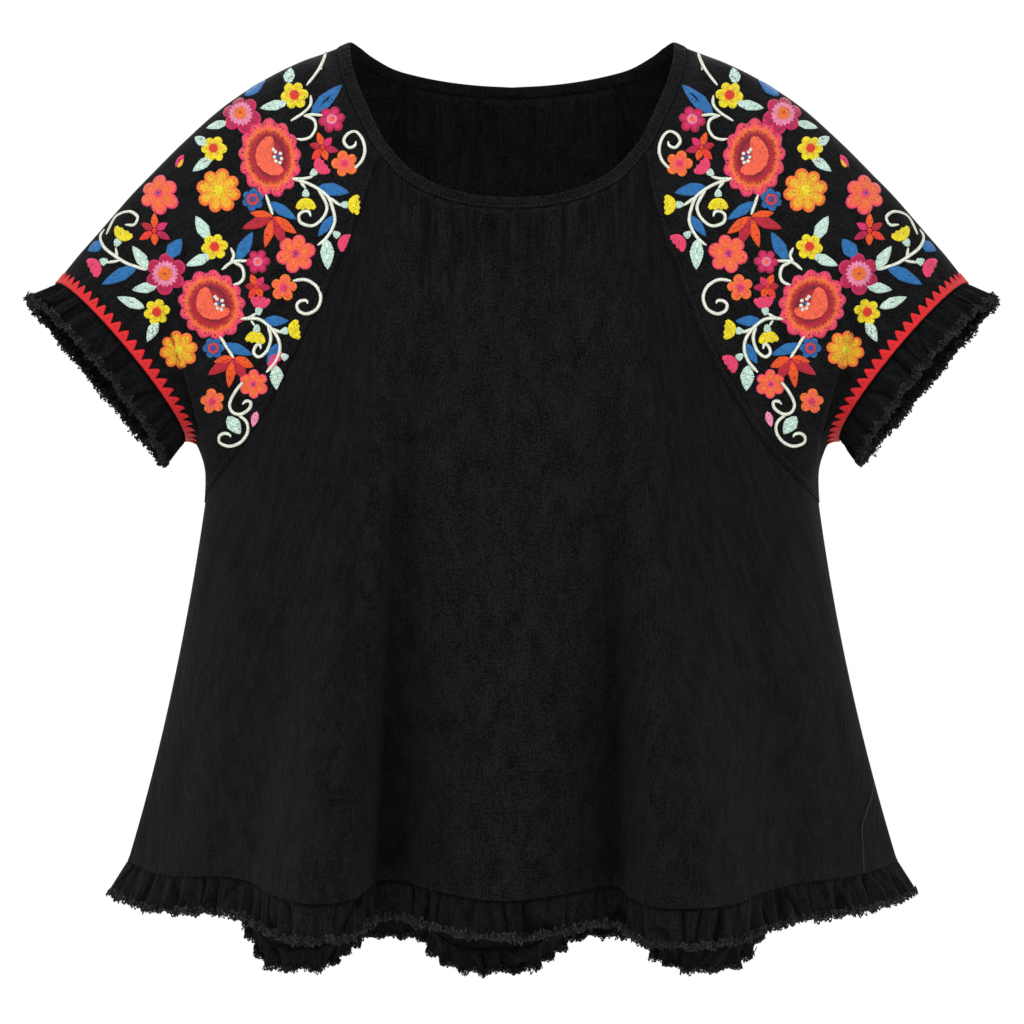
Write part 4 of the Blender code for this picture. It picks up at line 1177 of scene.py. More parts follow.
def frill_grid(path, starts, falls, waves, closed, tuck):
    """Points of a gathered strip, with the outward normals of its line, and its flat places."""
    count = len(path)
    turn = np.arange(count) * waves / (count if closed else count - 1)
    around = shifted(path, 4, closed) - shifted(path, -4, closed)
    normal = unit(np.cross(falls, around))
    first = unit(path - shifted(path, -COLUMNS_PER_WAVE, closed))
    second = unit(shifted(path, COLUMNS_PER_WAVE, closed) - path)
    room = np.maximum(0.35, (first * second).sum(axis=1))
    lift = wave(turn)
    fade = np.ones(count)
    if not closed:
        fade = np.clip(np.minimum(np.arange(count), np.arange(count)[::-1]) / COLUMNS_PER_WAVE, 0, 1)
    rows = [path - starts * 2.2 * MM - normal * tuck, path + starts * 0.2 * MM - normal * tuck * 0.5]
    # The two tucked rows under the panel's edge are painted wholly in shade
    dark = [np.ones(count), np.ones(count)]
    for v in np.linspace(0.03, 1, FRILL_ROWS):
        reach = WAVE_AT_SEAM + (WAVE_AT_EDGE * room - WAVE_AT_SEAM) * v
        leaning = turn + v * (0.6 * np.sin(turn * 0.93 + 1) + 0.35 * np.sin(turn * 2.71))
        pleats = np.sin(2 * math.pi * 1.73 * leaning + 1.8 * np.sin(turn * 1.1))
        pleats = pleats * (0.6 + 0.4 * np.sin(turn * 0.9)) * (1 - v) ** 0.7 * smooth_step(v / 0.1)
        folds = (1 - np.abs(np.sin(math.pi * (leaning * 0.87 + 0.35 * np.sin(turn * 1.9))))) ** 3.5
        folds = folds * (0.55 + 0.45 * np.sin(turn * 1.37))
        folds = folds * smooth_step(v / 0.08) * smooth_step((1.25 - v) / 0.5)
        height = (lift * reach + pleats * 1.0 * MM - folds * 4.2 * MM) * fade
        at_seam = np.clip(1.6 - v / 0.07, 0, 1)
        # Painted shade in the folds and at the seam, less of it on the pleats' crests, and a little darker
        # towards the free edge
        dark.append(np.clip(folds * 2.6 - pleats * 0.7 + at_seam + 0.2 * v * v, 0, 0.95))
        rows.append(path + starts * 0.6 * MM * (1 - v) + falls * v + normal * height[:, None])
    points = np.array(rows)
    if closed:
        lengths = np.linalg.norm(np.diff(np.vstack([points[-1], points[-1, :1]]), axis=0), axis=1)
    else:
        lengths = np.linalg.norm(np.diff(points[-1], axis=0), axis=1)
    across = np.tile(np.concatenate([[0], np.cumsum(lengths)]), (len(rows), 1))
    falls_down = np.linalg.norm(np.diff(points[:, 0], axis=0), axis=1)
    along = np.tile(-np.concatenate([[0], np.cumsum(falls_down)])[:, None], (1, across.shape[1]))
    # How gathered each row is, which paints dark streaks of shade and raises bumps, less towards the free
    # edge
    gathered = np.linspace(0.7, 0, len(rows))[:, None]
    return points, normal, across, along, painted_fold_shade(np.array(dark), gathered)


# Thickness of a loop's thread as a share of the loop
LOOP_THREAD = 0.15


def thread_loop():
    """One small loop of thread, modelled upright and copied along every frayed edge."""
    bpy.ops.object.select_all(action="DESELECT")
    bpy.ops.mesh.primitive_torus_add(major_segments=8, minor_segments=3, major_radius=0.5 - LOOP_THREAD,
                                     minor_radius=LOOP_THREAD)
    loop = bpy.context.active_object
    points = np.array([vertex.co[:] for vertex in loop.data.vertices])
    faces = [list(face.vertices) for face in loop.data.polygons]
    bpy.data.objects.remove(loop)
    return points, faces


def copies(name, shape, corners, ways, finish):
    """One mesh of many copies of a small shape. ways holds each copy's three axes, scaled."""
    shape_points, shape_faces = shape
    count, size = len(corners), len(shape_points)
    turned = np.einsum("pk,nkj->npj", shape_points, np.asarray(ways))
    points = (np.asarray(corners)[:, None] + turned).reshape(-1, 3)
    faces = []
    for index in range(count):
        faces += [[vertex + index * size for vertex in face] for face in shape_faces]
    flat = shape_points[[v for face in shape_faces for v in face]][:, :2] * 0.01
    places = np.concatenate([flat + 0.013 * index for index in range(count)])
    made = mesh_object(name, points, faces, places, finish)
    made.data.shade_smooth()
    return made


def fray(name, points, normal, sizes, closed, seed):
    """Loops of frayed thread along the free edge of a frill."""
    chance = np.random.default_rng(seed)
    edge, above = points[-1], points[-3]
    line = np.vstack([edge, edge[:1]]) if closed else edge
    distances = lengths_along(line)
    data = np.hstack([line, np.vstack([edge - above, (edge - above)[:1]]) if closed else edge - above])
    data = np.hstack([data, np.vstack([normal, normal[:1]]) if closed else normal])
    corners, ways = [], []
    for layer, (lift, pitch_share) in enumerate(((0.9, 1.0), (-0.9, 1.2), (0.1, 1.3))):
        steps = np.arange(0.6 * MM, distances[-1], sizes.fray_pitch * pitch_share)
        steps = steps + chance.uniform(-0.35, 0.35, len(steps)) * sizes.fray_pitch
        spots = at_distance(data, steps)
        ahead = at_distance(data, steps + 0.5 * MM)
        along = unit(ahead[:, :3] - spots[:, :3])
        down = unit(spots[:, 3:6])
        out = unit(np.cross(down, along))
        out *= np.sign((out * spots[:, 6:9]).sum(axis=1, keepdims=True))
        swell = 0.5 + 0.5 * np.sin(steps / (4.1 * MM) + seed + layer) * np.sin(steps / (7.7 * MM) + layer)
        for index in range(len(steps)):
            turn = chance.normal(0, 0.55)
            lean = chance.normal(0, 0.3)
            length = sizes.fray_length * chance.uniform(0.5, 1.0) * (0.7 + 0.3 * swell[index])
            width = chance.uniform(2.0, 3.6) * MM
            way_down = unit(down[index] * math.cos(turn) + along[index] * math.sin(turn) + out[index] * lean)
            way_along = unit(np.cross(way_down, out[index]))
            way_out = np.cross(way_along, way_down)
            reach = length * 0.5 - (1.0 + 4.2 * swell[index]) * MM * chance.uniform(0.5, 1.25)
            raised = out[index] * lift * MM * chance.uniform(0.5, 1.1)
            corners.append(spots[index, :3] - way_down * reach + raised)
            ways.append([way_down * length, way_along * width, way_out * sizes.fray_thread / LOOP_THREAD / 2])
    finish = material_called("frayed_thread", fray_material, sizes.colour)
    return copies(name, thread_loop(), corners, ways, finish)


class BuildHemFrills(bpy.types.Operator):
    """Gathered frills of the front and back hem"""

    bl_idname = "raglan_top.hem_frills"
    bl_label = "Hem frills"

    def execute(self, context):
        cotton_sizes, sizes = context.scene.cotton_sizes, context.scene.frill_sizes
        for name, side, waves, flat in (("front", -1, sizes.front_waves, FRONT_FRILL_FLAT),
                                        ("back", 1, sizes.back_waves, BACK_FRILL_FLAT)):
            points = panel_grid(side, cotton_sizes)[0]
            hem = points[-1]
            ways = unit(points[-1] - points[-3])
            lengths = lengths_along(hem)
            shares = np.linspace(0, 1, waves * COLUMNS_PER_WAVE + 1)
            spots = at_distance(np.hstack([hem, ways]), shares * lengths[-1])
            path, way = spots[:, :3], unit(spots[:, 3:])
            near_side = np.abs(path[:, 0] / HEM_HALF_WIDTH) ** 6
            sideways = path[:, 0] / HEM_HALF_WIDTH * near_side
            out = np.stack([sideways, side * (1 - near_side), 0 * shares], axis=1)
            flare = HEM_FLARE + (HEM_FLARE_AT_SIDE - HEM_FLARE) * near_side
            height = np.full(len(shares), FRONT_FRILL_HEIGHT)
            if side > 0:
                from_side = smooth_step(np.minimum(shares, 1 - shares) / 0.12)
                height = height + (BACK_FRILL_HEIGHT - FRONT_FRILL_HEIGHT) * from_side
            fall = unit(way * 0.4 + np.array((0, 0, -0.6)))
            falls = unit(fall * height[:, None] + unit(out) * flare[:, None]) * (height - 3.4 * MM)[:, None]
            tuck = 0.9 * MM * (1 if side < 0 else -1)
            points, normal, across, along, folds = frill_grid(path, way, falls, waves, False, tuck)
            wall = cotton_sizes.wall
            made = cloth_piece(
                f"hem_frill_{name}_cloth", points, across, along, wall, cotton(), side, folds=folds
            )
            loops = fray(f"hem_frill_{name}_fray", points, normal * -side, sizes, False, 11 + side)
            finished(made, [f"hem_frill_{name}"])
            finished(loops)
        return {"FINISHED"}


def cuff_lines(points, count):
    """Lines of points from a cuff's edge back along the sleeve, at even shares round it."""
    shares = np.arange(count) / count * (points.shape[1] - 1)
    column = shares.astype(int)
    part = (shares - column)[None, :, None]
    return points[::-1, column] * (1 - part) + points[::-1, column + 1] * part


class BuildCuffFrills(bpy.types.Operator):
    """Gathered frills of the cuffs"""

    bl_idname = "raglan_top.cuff_frills"
    bl_label = "Cuff frills"

    def execute(self, context):
        cotton_sizes, sizes = context.scene.cotton_sizes, context.scene.frill_sizes
        for name, hand in (("right", -1), ("left", 1)):
            grid = even_sleeve(hand)
            lines = cuff_lines(grid, sizes.cuff_waves * COLUMNS_PER_WAVE)
            path = lines[0]
            away = OUT_OF_CUFF * np.array((hand, 1, 1))
            out = path - path.mean(axis=0)
            out = unit(out - away * (out @ away)[:, None])
            way = unit(lines[0] - lines[2])
            falls = away * (CUFF_FRILL_HEIGHT - 3 * MM) + out * CUFF_FRILL_FLARE
            tuck = 0.9 * MM * hand
            points, normal, across, along, folds = frill_grid(path, way, falls, sizes.cuff_waves, True, tuck)
            wall = cotton_sizes.wall
            made = cloth_piece(
                f"cuff_frill_{name}_cloth", points, across, along, wall, cotton(), -hand, True, folds
            )
            loops = fray(f"cuff_frill_{name}_fray", points, normal * hand, sizes, True, 21 + hand)
            finished(made, [f"cuff_frill_{name}"])
            finished(loops)
        return {"FINISHED"}


def even_sleeve(hand):
    """The last rows of a sleeve with evenly spaced columns, for what is sewn on at its cuff."""
    around = np.linspace(0, 1, 241)
    return np.array([sleeve_section(share, around, hand) for share in np.linspace(1.2, SLEEVE[-1].share, 14)])


class BuildBraid(bpy.types.Operator):
    """Pointed braid just above the cuff frills"""

    bl_idname = "raglan_top.braid"
    bl_label = "Pointed braid"

    def execute(self, context):
        sizes = context.scene.braid_sizes
        wall = context.scene.cotton_sizes.wall
        finish = material_called("pointed_braid", braid_material, sizes.colour)
        for name, hand in (("right", -1), ("left", 1)):
            lines = cuff_lines(even_sleeve(hand), BRAID_POINTS * COLUMNS_PER_WAVE)
            count = lines.shape[1]
            turn = np.arange(count) / COLUMNS_PER_WAVE
            tooth = np.clip(1.25 * np.abs(2 * (turn % 1) - 1) - 0.1, 0, 1) ** 0.9
            tops = BRAID_BAND + (BRAID_HEIGHT - BRAID_BAND) * tooth
            around = shifted(lines[0], 4, True) - shifted(lines[0], -4, True)
            out = unit(np.cross(around, lines[0] - lines[4])) * -hand
            rows, heights = [], []
            for v, lift in BRAID_SECTION:
                height = BRAID_START + (tops - BRAID_START) * v
                spots = np.array([at_distance(lines[:, k], [height[k]])[0] for k in range(count)])
                rows.append(spots + out * (wall / 2 + lift * MM))
                heights.append(height)
            points = np.array(rows)
            length = np.append(turn, count / COLUMNS_PER_WAVE) * BRAID_PITCH
            across = np.tile(length + BRAID_PITCH / 2, (len(rows), 1))
            along = np.array([np.append(height, height[0]) for height in heights])
            made = cloth_piece(
                f"cuff_braid_{name}", points, across, along, sizes.thickness * 0.6, finish, hand, True
            )
            finished(made, [f"cuff_trim_{name}"])
        return {"FINISHED"}


def turning(angle):
    """Turns rows of flat points by an angle."""
    return np.array(((math.cos(angle), math.sin(angle)), (-math.sin(angle), math.cos(angle))))


class Needle:
    """Lays raised patches and lines of thread on a sleeve, where the stage's picture sees them."""

    def __init__(self, grid, wall, sizes):
        self.grid, self.skin, self.sizes = grid, wall / 2, sizes
        self.points, self.faces, self.places, self.colours = [], [], [], []

    def turn_to(self, hand, side):
        """Takes the sleeve as if it were the +X one seen from the front."""
        self.mirror = np.array((hand, -side, 1))
        rows, columns = self.grid.shape[:2]
        points = (self.grid.reshape(-1, 3) * self.mirror).tolist()
        self.tree = BVHTree.FromPolygons(points, grid_faces(rows, columns, side)[0])

    def spot(self, x, y):
        """Place and outward direction of the cloth seen at a pixel, or None where the sleeve isn't seen."""
        eye = Vector(CAMERA_PLACE)
        aim = Vector(((x - PICTURE_WIDTH / 2) * PIXEL, 0, eye.z - (y - PICTURE_WIDTH / 2) * PIXEL))
        place, normal = self.tree.ray_cast(eye, aim - eye)[:2]
        if place is not None and normal.dot(aim - eye) < 0:
            return place, normal
        if self.mirror[1] < 0:
            return None
        place, normal = self.tree.find_nearest(aim + Vector((0, -0.04, 0)))[:2]
        return place, normal

    def dropped(self, start, normal, height, view=None):
        """The cloth's surface under a point, looked for along the view first, raised by a height."""
        for way in (normal,) if view is None else (-view, normal):
            place, facing = self.tree.ray_cast(start + way * 0.03, -way, 0.06)[:2]
            if place is not None:
                return place + facing * (self.skin + height)
        place, facing = self.tree.find_nearest(start)[:2]
        return place + facing * (self.skin + height)

    def keep(self, points, loops, uvs, colour):
        """Adds points, and faces of places in them, to the work."""
        first = len(self.points)
        self.points += [tuple(point) for point in points]
        turned = self.mirror[0] * self.mirror[1] < 0
        for loop, uv in zip(loops, uvs):
            self.faces.append([first + i for i in (loop[::-1] if turned else loop)])
            self.places += uv[::-1] if turned else uv
        self.colours += colour

    def linear(self, thread):
        return (*srgb(getattr(self.sizes, thread)), 1)

    def patch(self, x, y, outline, hearts, threads, lift=0.0):
        """A domed patch. outline holds pixels from x and y, and its rings shrink towards the hearts."""
        seen = self.spot(x, y)
        if seen is None:
            return
        place, normal = seen
        view = (place - Vector(CAMERA_PLACE)).normalized()
        facing = max(-normal.dot(view), LEAST_FACING)
        scale = PIXEL * (place.y - CAMERA_PLACE[1]) / -CAMERA_PLACE[1]
        outline = np.asarray(outline, float)
        hearts = np.broadcast_to(np.asarray(hearts, float), outline.shape)
        after = np.roll(outline, -1, axis=0)
        if (outline[:, 0] * after[:, 1] - outline[:, 1] * after[:, 0]).sum() > 0:
            outline, hearts = outline[::-1], hearts[::-1]
        count = len(outline)
        around = lengths_along(np.vstack([outline, outline[:1]])) * scale
        deep = np.linalg.norm(outline - hearts, axis=1).mean() * scale
        points, colours = [], []
        names = threads.split() if " " in threads else [threads] * 5
        for (share, height), name in zip(PATCH_RINGS, names + names[-1:]):
            for across, down in (hearts + (outline - hearts) * share):
                flat = Vector((across, 0, -down)) * scale
                start = place + flat + view * (flat.dot(normal) / facing)
                raised = height * self.sizes.relief + lift * MM
                points.append(self.dropped(start, normal, raised, view if facing > SEEN_FLAT else None))
                colours.append(self.linear(name))
        offset = 0.0137 * (len(self.faces) % 71)
        loops, uvs = [], []
        for ring in range(len(PATCH_RINGS) - 1):
            near, far = PATCH_RINGS[ring][0] * deep + offset, PATCH_RINGS[ring + 1][0] * deep + offset
            for j in range(count):
                after = (j + 1) % count
                low, high = ring * count, (ring + 1) * count
                loops.append([low + j, high + j, high + after, low + after])
                start, end = around[j], around[j + 1]
                uvs.append([(near, start), (far, start), (far, end), (near, end)])
        last = (len(PATCH_RINGS) - 1) * count
        flat_places = [tuple(point * scale + offset) for point in outline * PATCH_RINGS[0][0]]
        loops += [list(range(count)), list(range(last, last + count))[::-1]]
        uvs += [flat_places, flat_places[::-1]]
        self.keep([np.array(point) * self.mirror for point in points], loops, uvs, colours)

    def stem(self, pixels, thread, thickness):
        """A line of stem stitch through pixels."""
        corners = np.array(pixels, float).reshape(-1, 2)
        keys = lengths_along(corners)
        seen = [self.spot(*spot) for spot in through(keys, corners, np.arange(0, keys[-1] + 1, 2.2))]
        seen = [spot for spot in seen if spot is not None]
        if len(seen) < 3:
            return
        centres = np.array([place[:] for place, _ in seen])
        normals = unit(np.array([normal[:] for _, normal in seen]))
        along = unit(np.gradient(centres, axis=0))
        sideways = unit(np.cross(normals, along))
        from_end = np.minimum(np.arange(len(seen)), np.arange(len(seen))[::-1])
        width = thickness / 2 * np.minimum(1, 0.45 + 0.3 * from_end)
        lengths = lengths_along(centres)
        points, loops, uvs = [], [], []
        for k, centre in enumerate(centres):
            for turn in range(6):
                angle = math.pi / 3 * turn
                out = sideways[k] * math.cos(angle) * width[k]
                out = out + normals[k] * (math.sin(angle) * width[k] * 0.75 + self.skin + 0.25 * MM)
                points.append((centre + out) * self.mirror)
        for k in range(len(centres) - 1):
            for turn in range(6):
                after = (turn + 1) % 6
                loops.append([k * 6 + turn, (k + 1) * 6 + turn, (k + 1) * 6 + after, k * 6 + after][::-1])
                low, high = turn * thickness / 2, (turn + 1) * thickness / 2
                start, end = lengths[k], lengths[k + 1]
                corner_places = [(start, low), (end, low), (end, high), (start, high)]
                uvs.append(corner_places[::-1])
        ends = [(0.0, 0.0)] * 6
        loops += [list(range(6)), list(range(len(points) - 6, len(points)))[::-1]]
        uvs += [ends, ends]
        self.keep(points, loops, uvs, [(*self.linear(thread)[:3], 0.0)] * len(points))

    def disc(self, x, y, radius, threads, lift, uneven=0.0):
        count = 36 if uneven else 16 if radius > 3 else 8
        turns = np.arange(count) * math.tau / count
        reach = radius * (1 + uneven * np.cos(turns * count / 2))
        outline = np.stack([np.cos(turns) * reach, -np.sin(turns) * reach], axis=1)
        self.patch(x, y, outline, (0, 0), threads, lift)

    def flower(self, flower):
        """Overlapping petals round a few discs."""
        kind = FLOWER_KINDS[flower.kind]
        reach, radius = (share * flower.size for share in PETAL_REACH[kind.petals])
        turns = np.arange(14) * math.tau / 14
        for petal in range(kind.petals):
            turn = math.tau * (petal + flower.x * 0.137 % 1) / kind.petals
            out = np.array((math.cos(turn), -math.sin(turn)))
            side = np.array((-math.sin(turn), -math.cos(turn)))
            wide = radius * (1 + 0.06 * math.sin(petal * 2.4 + flower.y))
            long = np.where(np.cos(turns) > 0, wide, reach * 0.82) * np.cos(turns)
            outline = out * (reach + long)[:, None] + side * (np.sin(turns) * wide)[:, None]
            self.patch(flower.x, flower.y, outline, out * (reach - radius * 0.6), kind.threads, 0.12)
        for layer, (thread, share) in enumerate(kind.discs):
            radius = share * flower.size
            self.disc(flower.x, flower.y, radius, thread, 0.42 + 0.3 * layer, 0.1 if share > 0.17 else 0)

    def peony(self, peony):
        """A scalloped flower with a crimson throat, a coral inner petal and a cluster of knots."""
        turns = np.arange(78) * math.tau / 78
        lean = turning(peony.turn)

        def oval(width, height, lobes, deep, count=1, shift=(0, 0)):
            angles = turns[::count]
            wave_out = 1 + deep * (np.abs(np.sin(lobes * angles / 2 + 0.4 * np.sin(angles * 2))) * 2 - 1.3)
            shape = np.stack([np.cos(angles) * width / 2, -np.sin(angles) * height / 2], axis=1)
            return (shape * wave_out[:, None]) @ lean + shift

        outer = oval(peony.width, peony.height, 13, 0.07)
        self.patch(peony.x, peony.y, outer, (0, 0), "crimson coral coral pink pink", 0.05)
        middle = oval(peony.width * 0.82, peony.height * 0.8, 17, 0.03, 2)
        self.patch(peony.x, peony.y, middle, (0, 0), "crimson crimson crimson orange coral", 0.3)
        throat = oval(peony.width * 0.6, peony.height * 0.64, 1, 0.02, 3, (-1, -1))
        self.patch(peony.x, peony.y, throat, (0, 0), "crimson crimson wine crimson wine", 0.62)
        inner = PEONY_PETAL / (PEONIES[0].width, PEONIES[0].height) * (peony.width, peony.height)
        inner = inner @ turning(peony.turn - PEONIES[0].turn)
        self.patch(peony.x, peony.y, inner, inner.mean(axis=0), "coral coral coral coral crimson", 0.95)
        for share, reach, count, lift in ((0.87, 0.035, 27, 0.35), (0.665, 0.05, 23, 0.5)):
            for tick in range(count):
                turn = math.tau * (tick + 0.3 * math.sin(tick * 2.3)) / count
                out = np.array((math.cos(turn), math.sin(turn)))
                middle = out * share * (peony.width / 2, peony.height / 2)
                long, wide = out * reach * peony.height / 2, np.array((-out[1], out[0])) * 0.42
                outline = np.array([long, long * 0.5 + wide, wide - long * 0.5, -long, -wide - long * 0.5,
                                    long * 0.5 - wide])
                self.patch(peony.x, peony.y, (outline + middle) @ lean, middle @ lean, "wine", lift)
        for index, (across, down) in enumerate(KNOTS):
            thread = "blue" if index == 0 else "cream"
            self.disc(peony.heart_x + across, peony.heart_y + down, 1.9, thread, 1.55)

    def leaf(self, thread, start, tip, width, lift=0.0):
        """A pointed leaf whose stitches slant out from its vein."""
        start, tip = np.array(start, float), np.array(tip, float)
        middle = (start + tip) / 2
        way = tip - start
        side = np.array((way[1], -way[0])) / np.linalg.norm(way)
        shares = np.linspace(0, 1, 8)
        wide = width / 2 * np.sin(math.pi * shares**0.85) ** 0.85 * (1 + 0.06 * np.sin(shares * 17))
        spine = start + way * shares[:, None] - middle
        vein = start + way * (0.12 + 0.76 * shares[:, None]) - middle
        outline = np.vstack([spine + side * wide[:, None], (spine - side * wide[:, None])[-2:0:-1]])
        hearts = np.vstack([vein, vein[-2:0:-1]])
        self.patch(*middle, outline[::-1], hearts[::-1], thread, lift)

    def sprig(self, sprig):
        for petal in range(6):
            turn = math.tau * (petal + sprig.x * 0.21 % 1) / 6
            out = np.array((math.cos(turn), -math.sin(turn))) * sprig.size / 2
            centre = np.array((sprig.x, sprig.y))
            thread = ("crimson", "ember", "rose", "magenta", "ember", "red")[petal]
            self.leaf(thread, centre + out * 0.12, centre + out * (1.05 if petal % 2 else 0.88), 7.5)
        self.disc(sprig.x, sprig.y, 2.4, "red", 0.3)

    def bud(self, bud):
        """A fan of petals in a pale cup."""
        away = np.array((bud.x - bud.cup_x, bud.y - bud.cup_y), float)
        away = away / np.linalg.norm(away)
        side = np.array((away[1], -away[0]))
        for shape, x, y, thread, lift in ((BUD_SHAPE, bud.x, bud.y, bud.thread, 0.0),
                                          (CUP_SHAPE, bud.cup_x, bud.cup_y, "mint", 0.3)):
            half = np.array(shape, float)
            shape = np.vstack([half, half[::-1] * (-1, 1)])
            outline = side * shape[:, :1] + away * shape[:, 1:]
            self.patch(x, y, outline, away, thread, lift)


class BuildEmbroidery(bpy.types.Operator):
    """Flowers, leaves, buds and curling stems on both sleeves"""

    bl_idname = "raglan_top.embroidery"
    bl_label = "Embroidery"

    def execute(self, context):
        sizes, cotton_sizes = context.scene.embroidery_sizes, context.scene.cotton_sizes
        finish = material_called("embroidery_thread", embroidery_material)
        for name, hand in (("right", -1), ("left", 1)):
            needle = Needle(sleeve_grid(hand, cotton_sizes)[0], cotton_sizes.wall, sizes)
            for side in (-1, 1):
                needle.turn_to(hand, side)
                for pixels in STEMS:
                    needle.stem(pixels, "cream", sizes.stem)
                for leaf in LEAVES:
                    needle.leaf(leaf.thread, (leaf.x, leaf.y), (leaf.tip_x, leaf.tip_y), leaf.width)
                for sprig in SPRIGS:
                    needle.sprig(sprig)
                for bud in BUDS:
                    needle.bud(bud)
                for flower in FLOWERS:
                    needle.flower(flower)
                for peony in PEONIES:
                    needle.peony(peony)
            made = mesh_object(
                f"embroidery_{name}", needle.points, needle.faces, needle.places, finish, needle.colours
            )
            made.data.shade_smooth()
            finished(made)
        return {"FINISHED"}


def thread_material(name, colour):
    """Twisted sewing thread, which also colours the dark tubes of painted shade in the side seams."""
    nodes = Nodes(name)
    twist = nodes.noise((2400, 900), 2, 0.6)
    base = nodes.ramp(twist, 0.3, 0.7, shade(colour, 0.55), shade(colour, 1.3))
    return nodes.finish(base, nodes.bump(twist, 0.15 * MM), 0.6, 0.3)


def stitches(name, lines, sizes):
    """A row of short stitches along each line, whose points come with outward directions."""
    corners, ways = [], []
    for line in lines:
        steps = np.arange(0.5 * sizes.pitch, lengths_along(line[:, :3])[-1], sizes.pitch)
        spots = at_distance(line, steps)
        ahead = at_distance(line, steps + 0.3 * MM) - at_distance(line, steps - 0.3 * MM)
        along, out = unit(ahead[:, :3]), unit(spots[:, 3:])
        side = unit(np.cross(out, along))
        corners.append(spots[:, :3] + out * 0.1 * MM)
        high = out * sizes.thickness * 0.8
        ways.append(np.stack([along * sizes.length, side * sizes.thickness, high], axis=1))
    bpy.ops.object.select_all(action="DESELECT")
    bpy.ops.mesh.primitive_uv_sphere_add(segments=6, ring_count=5, radius=0.5, rotation=(0, math.pi / 2, 0))
    stitch = bpy.context.active_object
    bpy.ops.object.transform_apply(location=False, rotation=True, scale=False)
    shape = np.array([vertex.co[:] for vertex in stitch.data.vertices])
    faces = [list(face.vertices) for face in stitch.data.polygons]
    bpy.data.objects.remove(stitch)
    finish = material_called("sewing_thread_and_seam_shade", thread_material, sizes.colour)
    return copies(name, (shape, faces), np.concatenate(corners), np.concatenate(ways), finish)


class BuildTopstitching(bpy.types.Operator):
    """Topstitching of the neck binding and the raglan seams, and dark tubes of painted shade in the side
    seams' grooves where they turn to the front
    """

    bl_idname = "raglan_top.topstitching"
    bl_label = "Topstitching"

    def execute(self, context):
        sizes, cotton_sizes = context.scene.stitch_sizes, context.scene.cotton_sizes
        places = np.linspace(0, CENTRE_BACK, 120)
        seam, edge = neck_points(places)
        along = np.gradient(seam, axis=0)
        out = unit(np.cross(along, edge - seam))
        spots = seam + (edge - seam) * 0.16 + out * BINDING_THICKNESS * 0.46
        half = np.hstack([spots, out])
        made = stitches("binding_topstitch", [half, half * (-1, 1, 1, -1, 1, 1)], sizes)
        finished(made)
        for name, hand in (("right", -1), ("left", 1)):
            grid = sleeve_grid(hand, cotton_sizes)[0]
            out = grid_normals(grid) * -hand
            last = np.argmin(np.abs(np.linspace(0, SLEEVE[-1].share, SLEEVE_ROWS + 1) - 0.97))
            skin = grid + out * cotton_sizes.wall / 2
            lines = [np.hstack([skin[:last, column], out[:last, column]]) for column in (3, -4)]
            finished(stitches(f"raglan_topstitch_{name}", lines, sizes))
        # A dark tube of painted shade along each side seam's groove, seen from the front
        for name, hand in (("right", -1), ("left", 1)):
            needle = Needle(panel_grid(-1, cotton_sizes)[0], cotton_sizes.wall, sizes)
            needle.turn_to(hand, -1)
            needle.stem(SIDE_SEAM_SHADE_LINE, "colour", 1.5 * MM)
            finish = material_called("sewing_thread_and_seam_shade", thread_material, sizes.colour)
            made = mesh_object(f"side_seam_shade_{name}", needle.points, needle.faces, needle.places, finish)
            made.data.shade_smooth()
            finished(made)
        return {"FINISHED"}


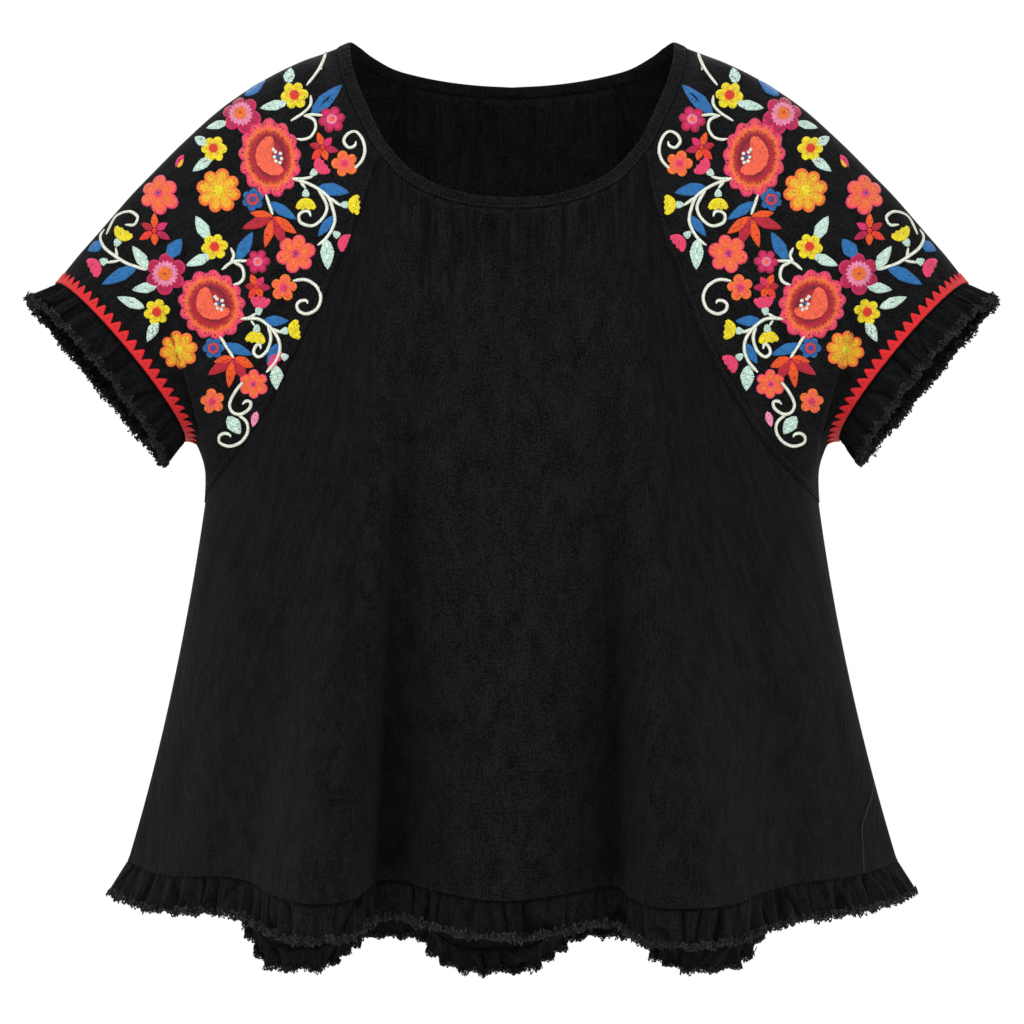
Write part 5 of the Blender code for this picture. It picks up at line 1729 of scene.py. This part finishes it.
class BuildStage(bpy.types.Operator):
    """Camera, soft lights and a pale floor"""

    bl_idname = "raglan_top.stage"
    bl_label = "Stage"

    def execute(self, context):
        sizes, scene = context.scene.stage_sizes, context.scene
        scene.view_settings.view_transform = "Standard"
        bpy.ops.object.select_all(action="DESELECT")
        bpy.ops.object.camera_add(location=CAMERA_PLACE, rotation=(math.pi / 2, 0, 0))
        camera = context.active_object
        camera.data.sensor_width = 36
        camera.data.lens = 36 * -CAMERA_PLACE[1] / (PICTURE_WIDTH * PIXEL)
        scene.camera = camera
        world = bpy.data.worlds.new("studio")
        world.use_nodes = True
        scene.world = world
        tree = world.node_tree
        shown = tree.nodes["Background"]
        shown.inputs["Color"].default_value = (1, 1, 1, 1)
        shown.inputs["Strength"].default_value = 1.0
        lighting = tree.nodes.new("ShaderNodeBackground")
        lighting.inputs["Color"].default_value = (1, 1, 1, 1)
        lighting.inputs["Strength"].default_value = sizes.soft_light
        rays = tree.nodes.new("ShaderNodeLightPath")
        mixed = tree.nodes.new("ShaderNodeMixShader")
        tree.links.new(rays.outputs["Is Camera Ray"], mixed.inputs[0])
        tree.links.new(lighting.outputs[0], mixed.inputs[1])
        tree.links.new(shown.outputs[0], mixed.inputs[2])
        tree.links.new(mixed.outputs[0], tree.nodes["World Output"].inputs["Surface"])
        for name, place, size, power in (
            ("key_light", (-1.3, -2.2, 1.7), 1.1, 28),
            ("fill_light", (0.6, -2.8, 0.2), 1.2, 20),
            ("back_light", (0, 2.6, 1.3), 1.6, 60),
        ):
            bpy.ops.object.light_add(type="AREA", location=place)
            light = context.active_object
            light.name = name
            light.data.size = size
            light.data.energy = power
            towards = Vector((0, 0, -0.35)) - Vector(place)
            light.rotation_euler = towards.to_track_quat("-Z", "Y").to_euler()
        bpy.ops.object.select_all(action="DESELECT")
        bpy.ops.mesh.primitive_circle_add(vertices=96, radius=sizes.floor_radius, fill_type="NGON",
                                          location=(0, 0, sizes.floor_height))
        floor = context.active_object
        floor.name = "floor"
        nodes = Nodes("pale_floor")
        place = nodes.add("ShaderNodeTexCoord").outputs["Object"]
        mottle = nodes.add("ShaderNodeTexNoise", {"Vector": place, "Scale": 3.0}).outputs["Fac"]
        pale = nodes.ramp(mottle, 0.3, 0.7, (0.8, 0.8, 0.8, 1), (0.84, 0.84, 0.84, 1))
        floor.data.materials.append(nodes.finish(pale, nodes.bump(mottle, 0.001), 0.8, 0.2))
        return {"FINISHED"}


class RaglanTopPanel(bpy.types.Panel):
    """Sizes and steps of the raglan top"""

    bl_idname = "VIEW3D_PT_raglan_top"
    bl_label = "Raglan top"
    bl_space_type = "VIEW_3D"
    bl_region_type = "UI"
    bl_category = "Raglan top"

    def draw(self, context):
        for name in SETTINGS:
            box = self.layout.box()
            settings = getattr(context.scene, name)
            for key in settings.bl_rna.properties.keys():
                if key not in ("rna_type", "name"):
                    box.prop(settings, key)
        for operator in OPERATORS:
            self.layout.operator(operator.bl_idname)


SETTINGS = {
    "cotton_sizes": CottonSizes,
    "frill_sizes": FrillSizes,
    "braid_sizes": BraidSizes,
    "embroidery_sizes": EmbroiderySizes,
    "stitch_sizes": StitchSizes,
    "stage_sizes": StageSizes,
}
OPERATORS = (
    BuildPanels,
    BuildSleeves,
    BuildBinding,
    BuildHemFrills,
    BuildCuffFrills,
    BuildBraid,
    BuildEmbroidery,
    BuildTopstitching,
    BuildStage,
)


def register():
    for made in (*SETTINGS.values(), *OPERATORS, RaglanTopPanel):
        bpy.utils.register_class(made)
    for name, made in SETTINGS.items():
        setattr(bpy.types.Scene, name, PointerProperty(type=made))


def unregister():
    for name in SETTINGS:
        delattr(bpy.types.Scene, name)
    for made in (RaglanTopPanel, *OPERATORS, *SETTINGS.values()):
        bpy.utils.unregister_class(made)


def main():
    register()
    bpy.ops.raglan_top.panels()
    bpy.ops.raglan_top.sleeves()
    bpy.ops.raglan_top.binding()
    bpy.ops.raglan_top.hem_frills()
    bpy.ops.raglan_top.cuff_frills()
    bpy.ops.raglan_top.braid()
    bpy.ops.raglan_top.embroidery()
    bpy.ops.raglan_top.topstitching()
    bpy.ops.raglan_top.stage()


if __name__ == "__main__":
    main()
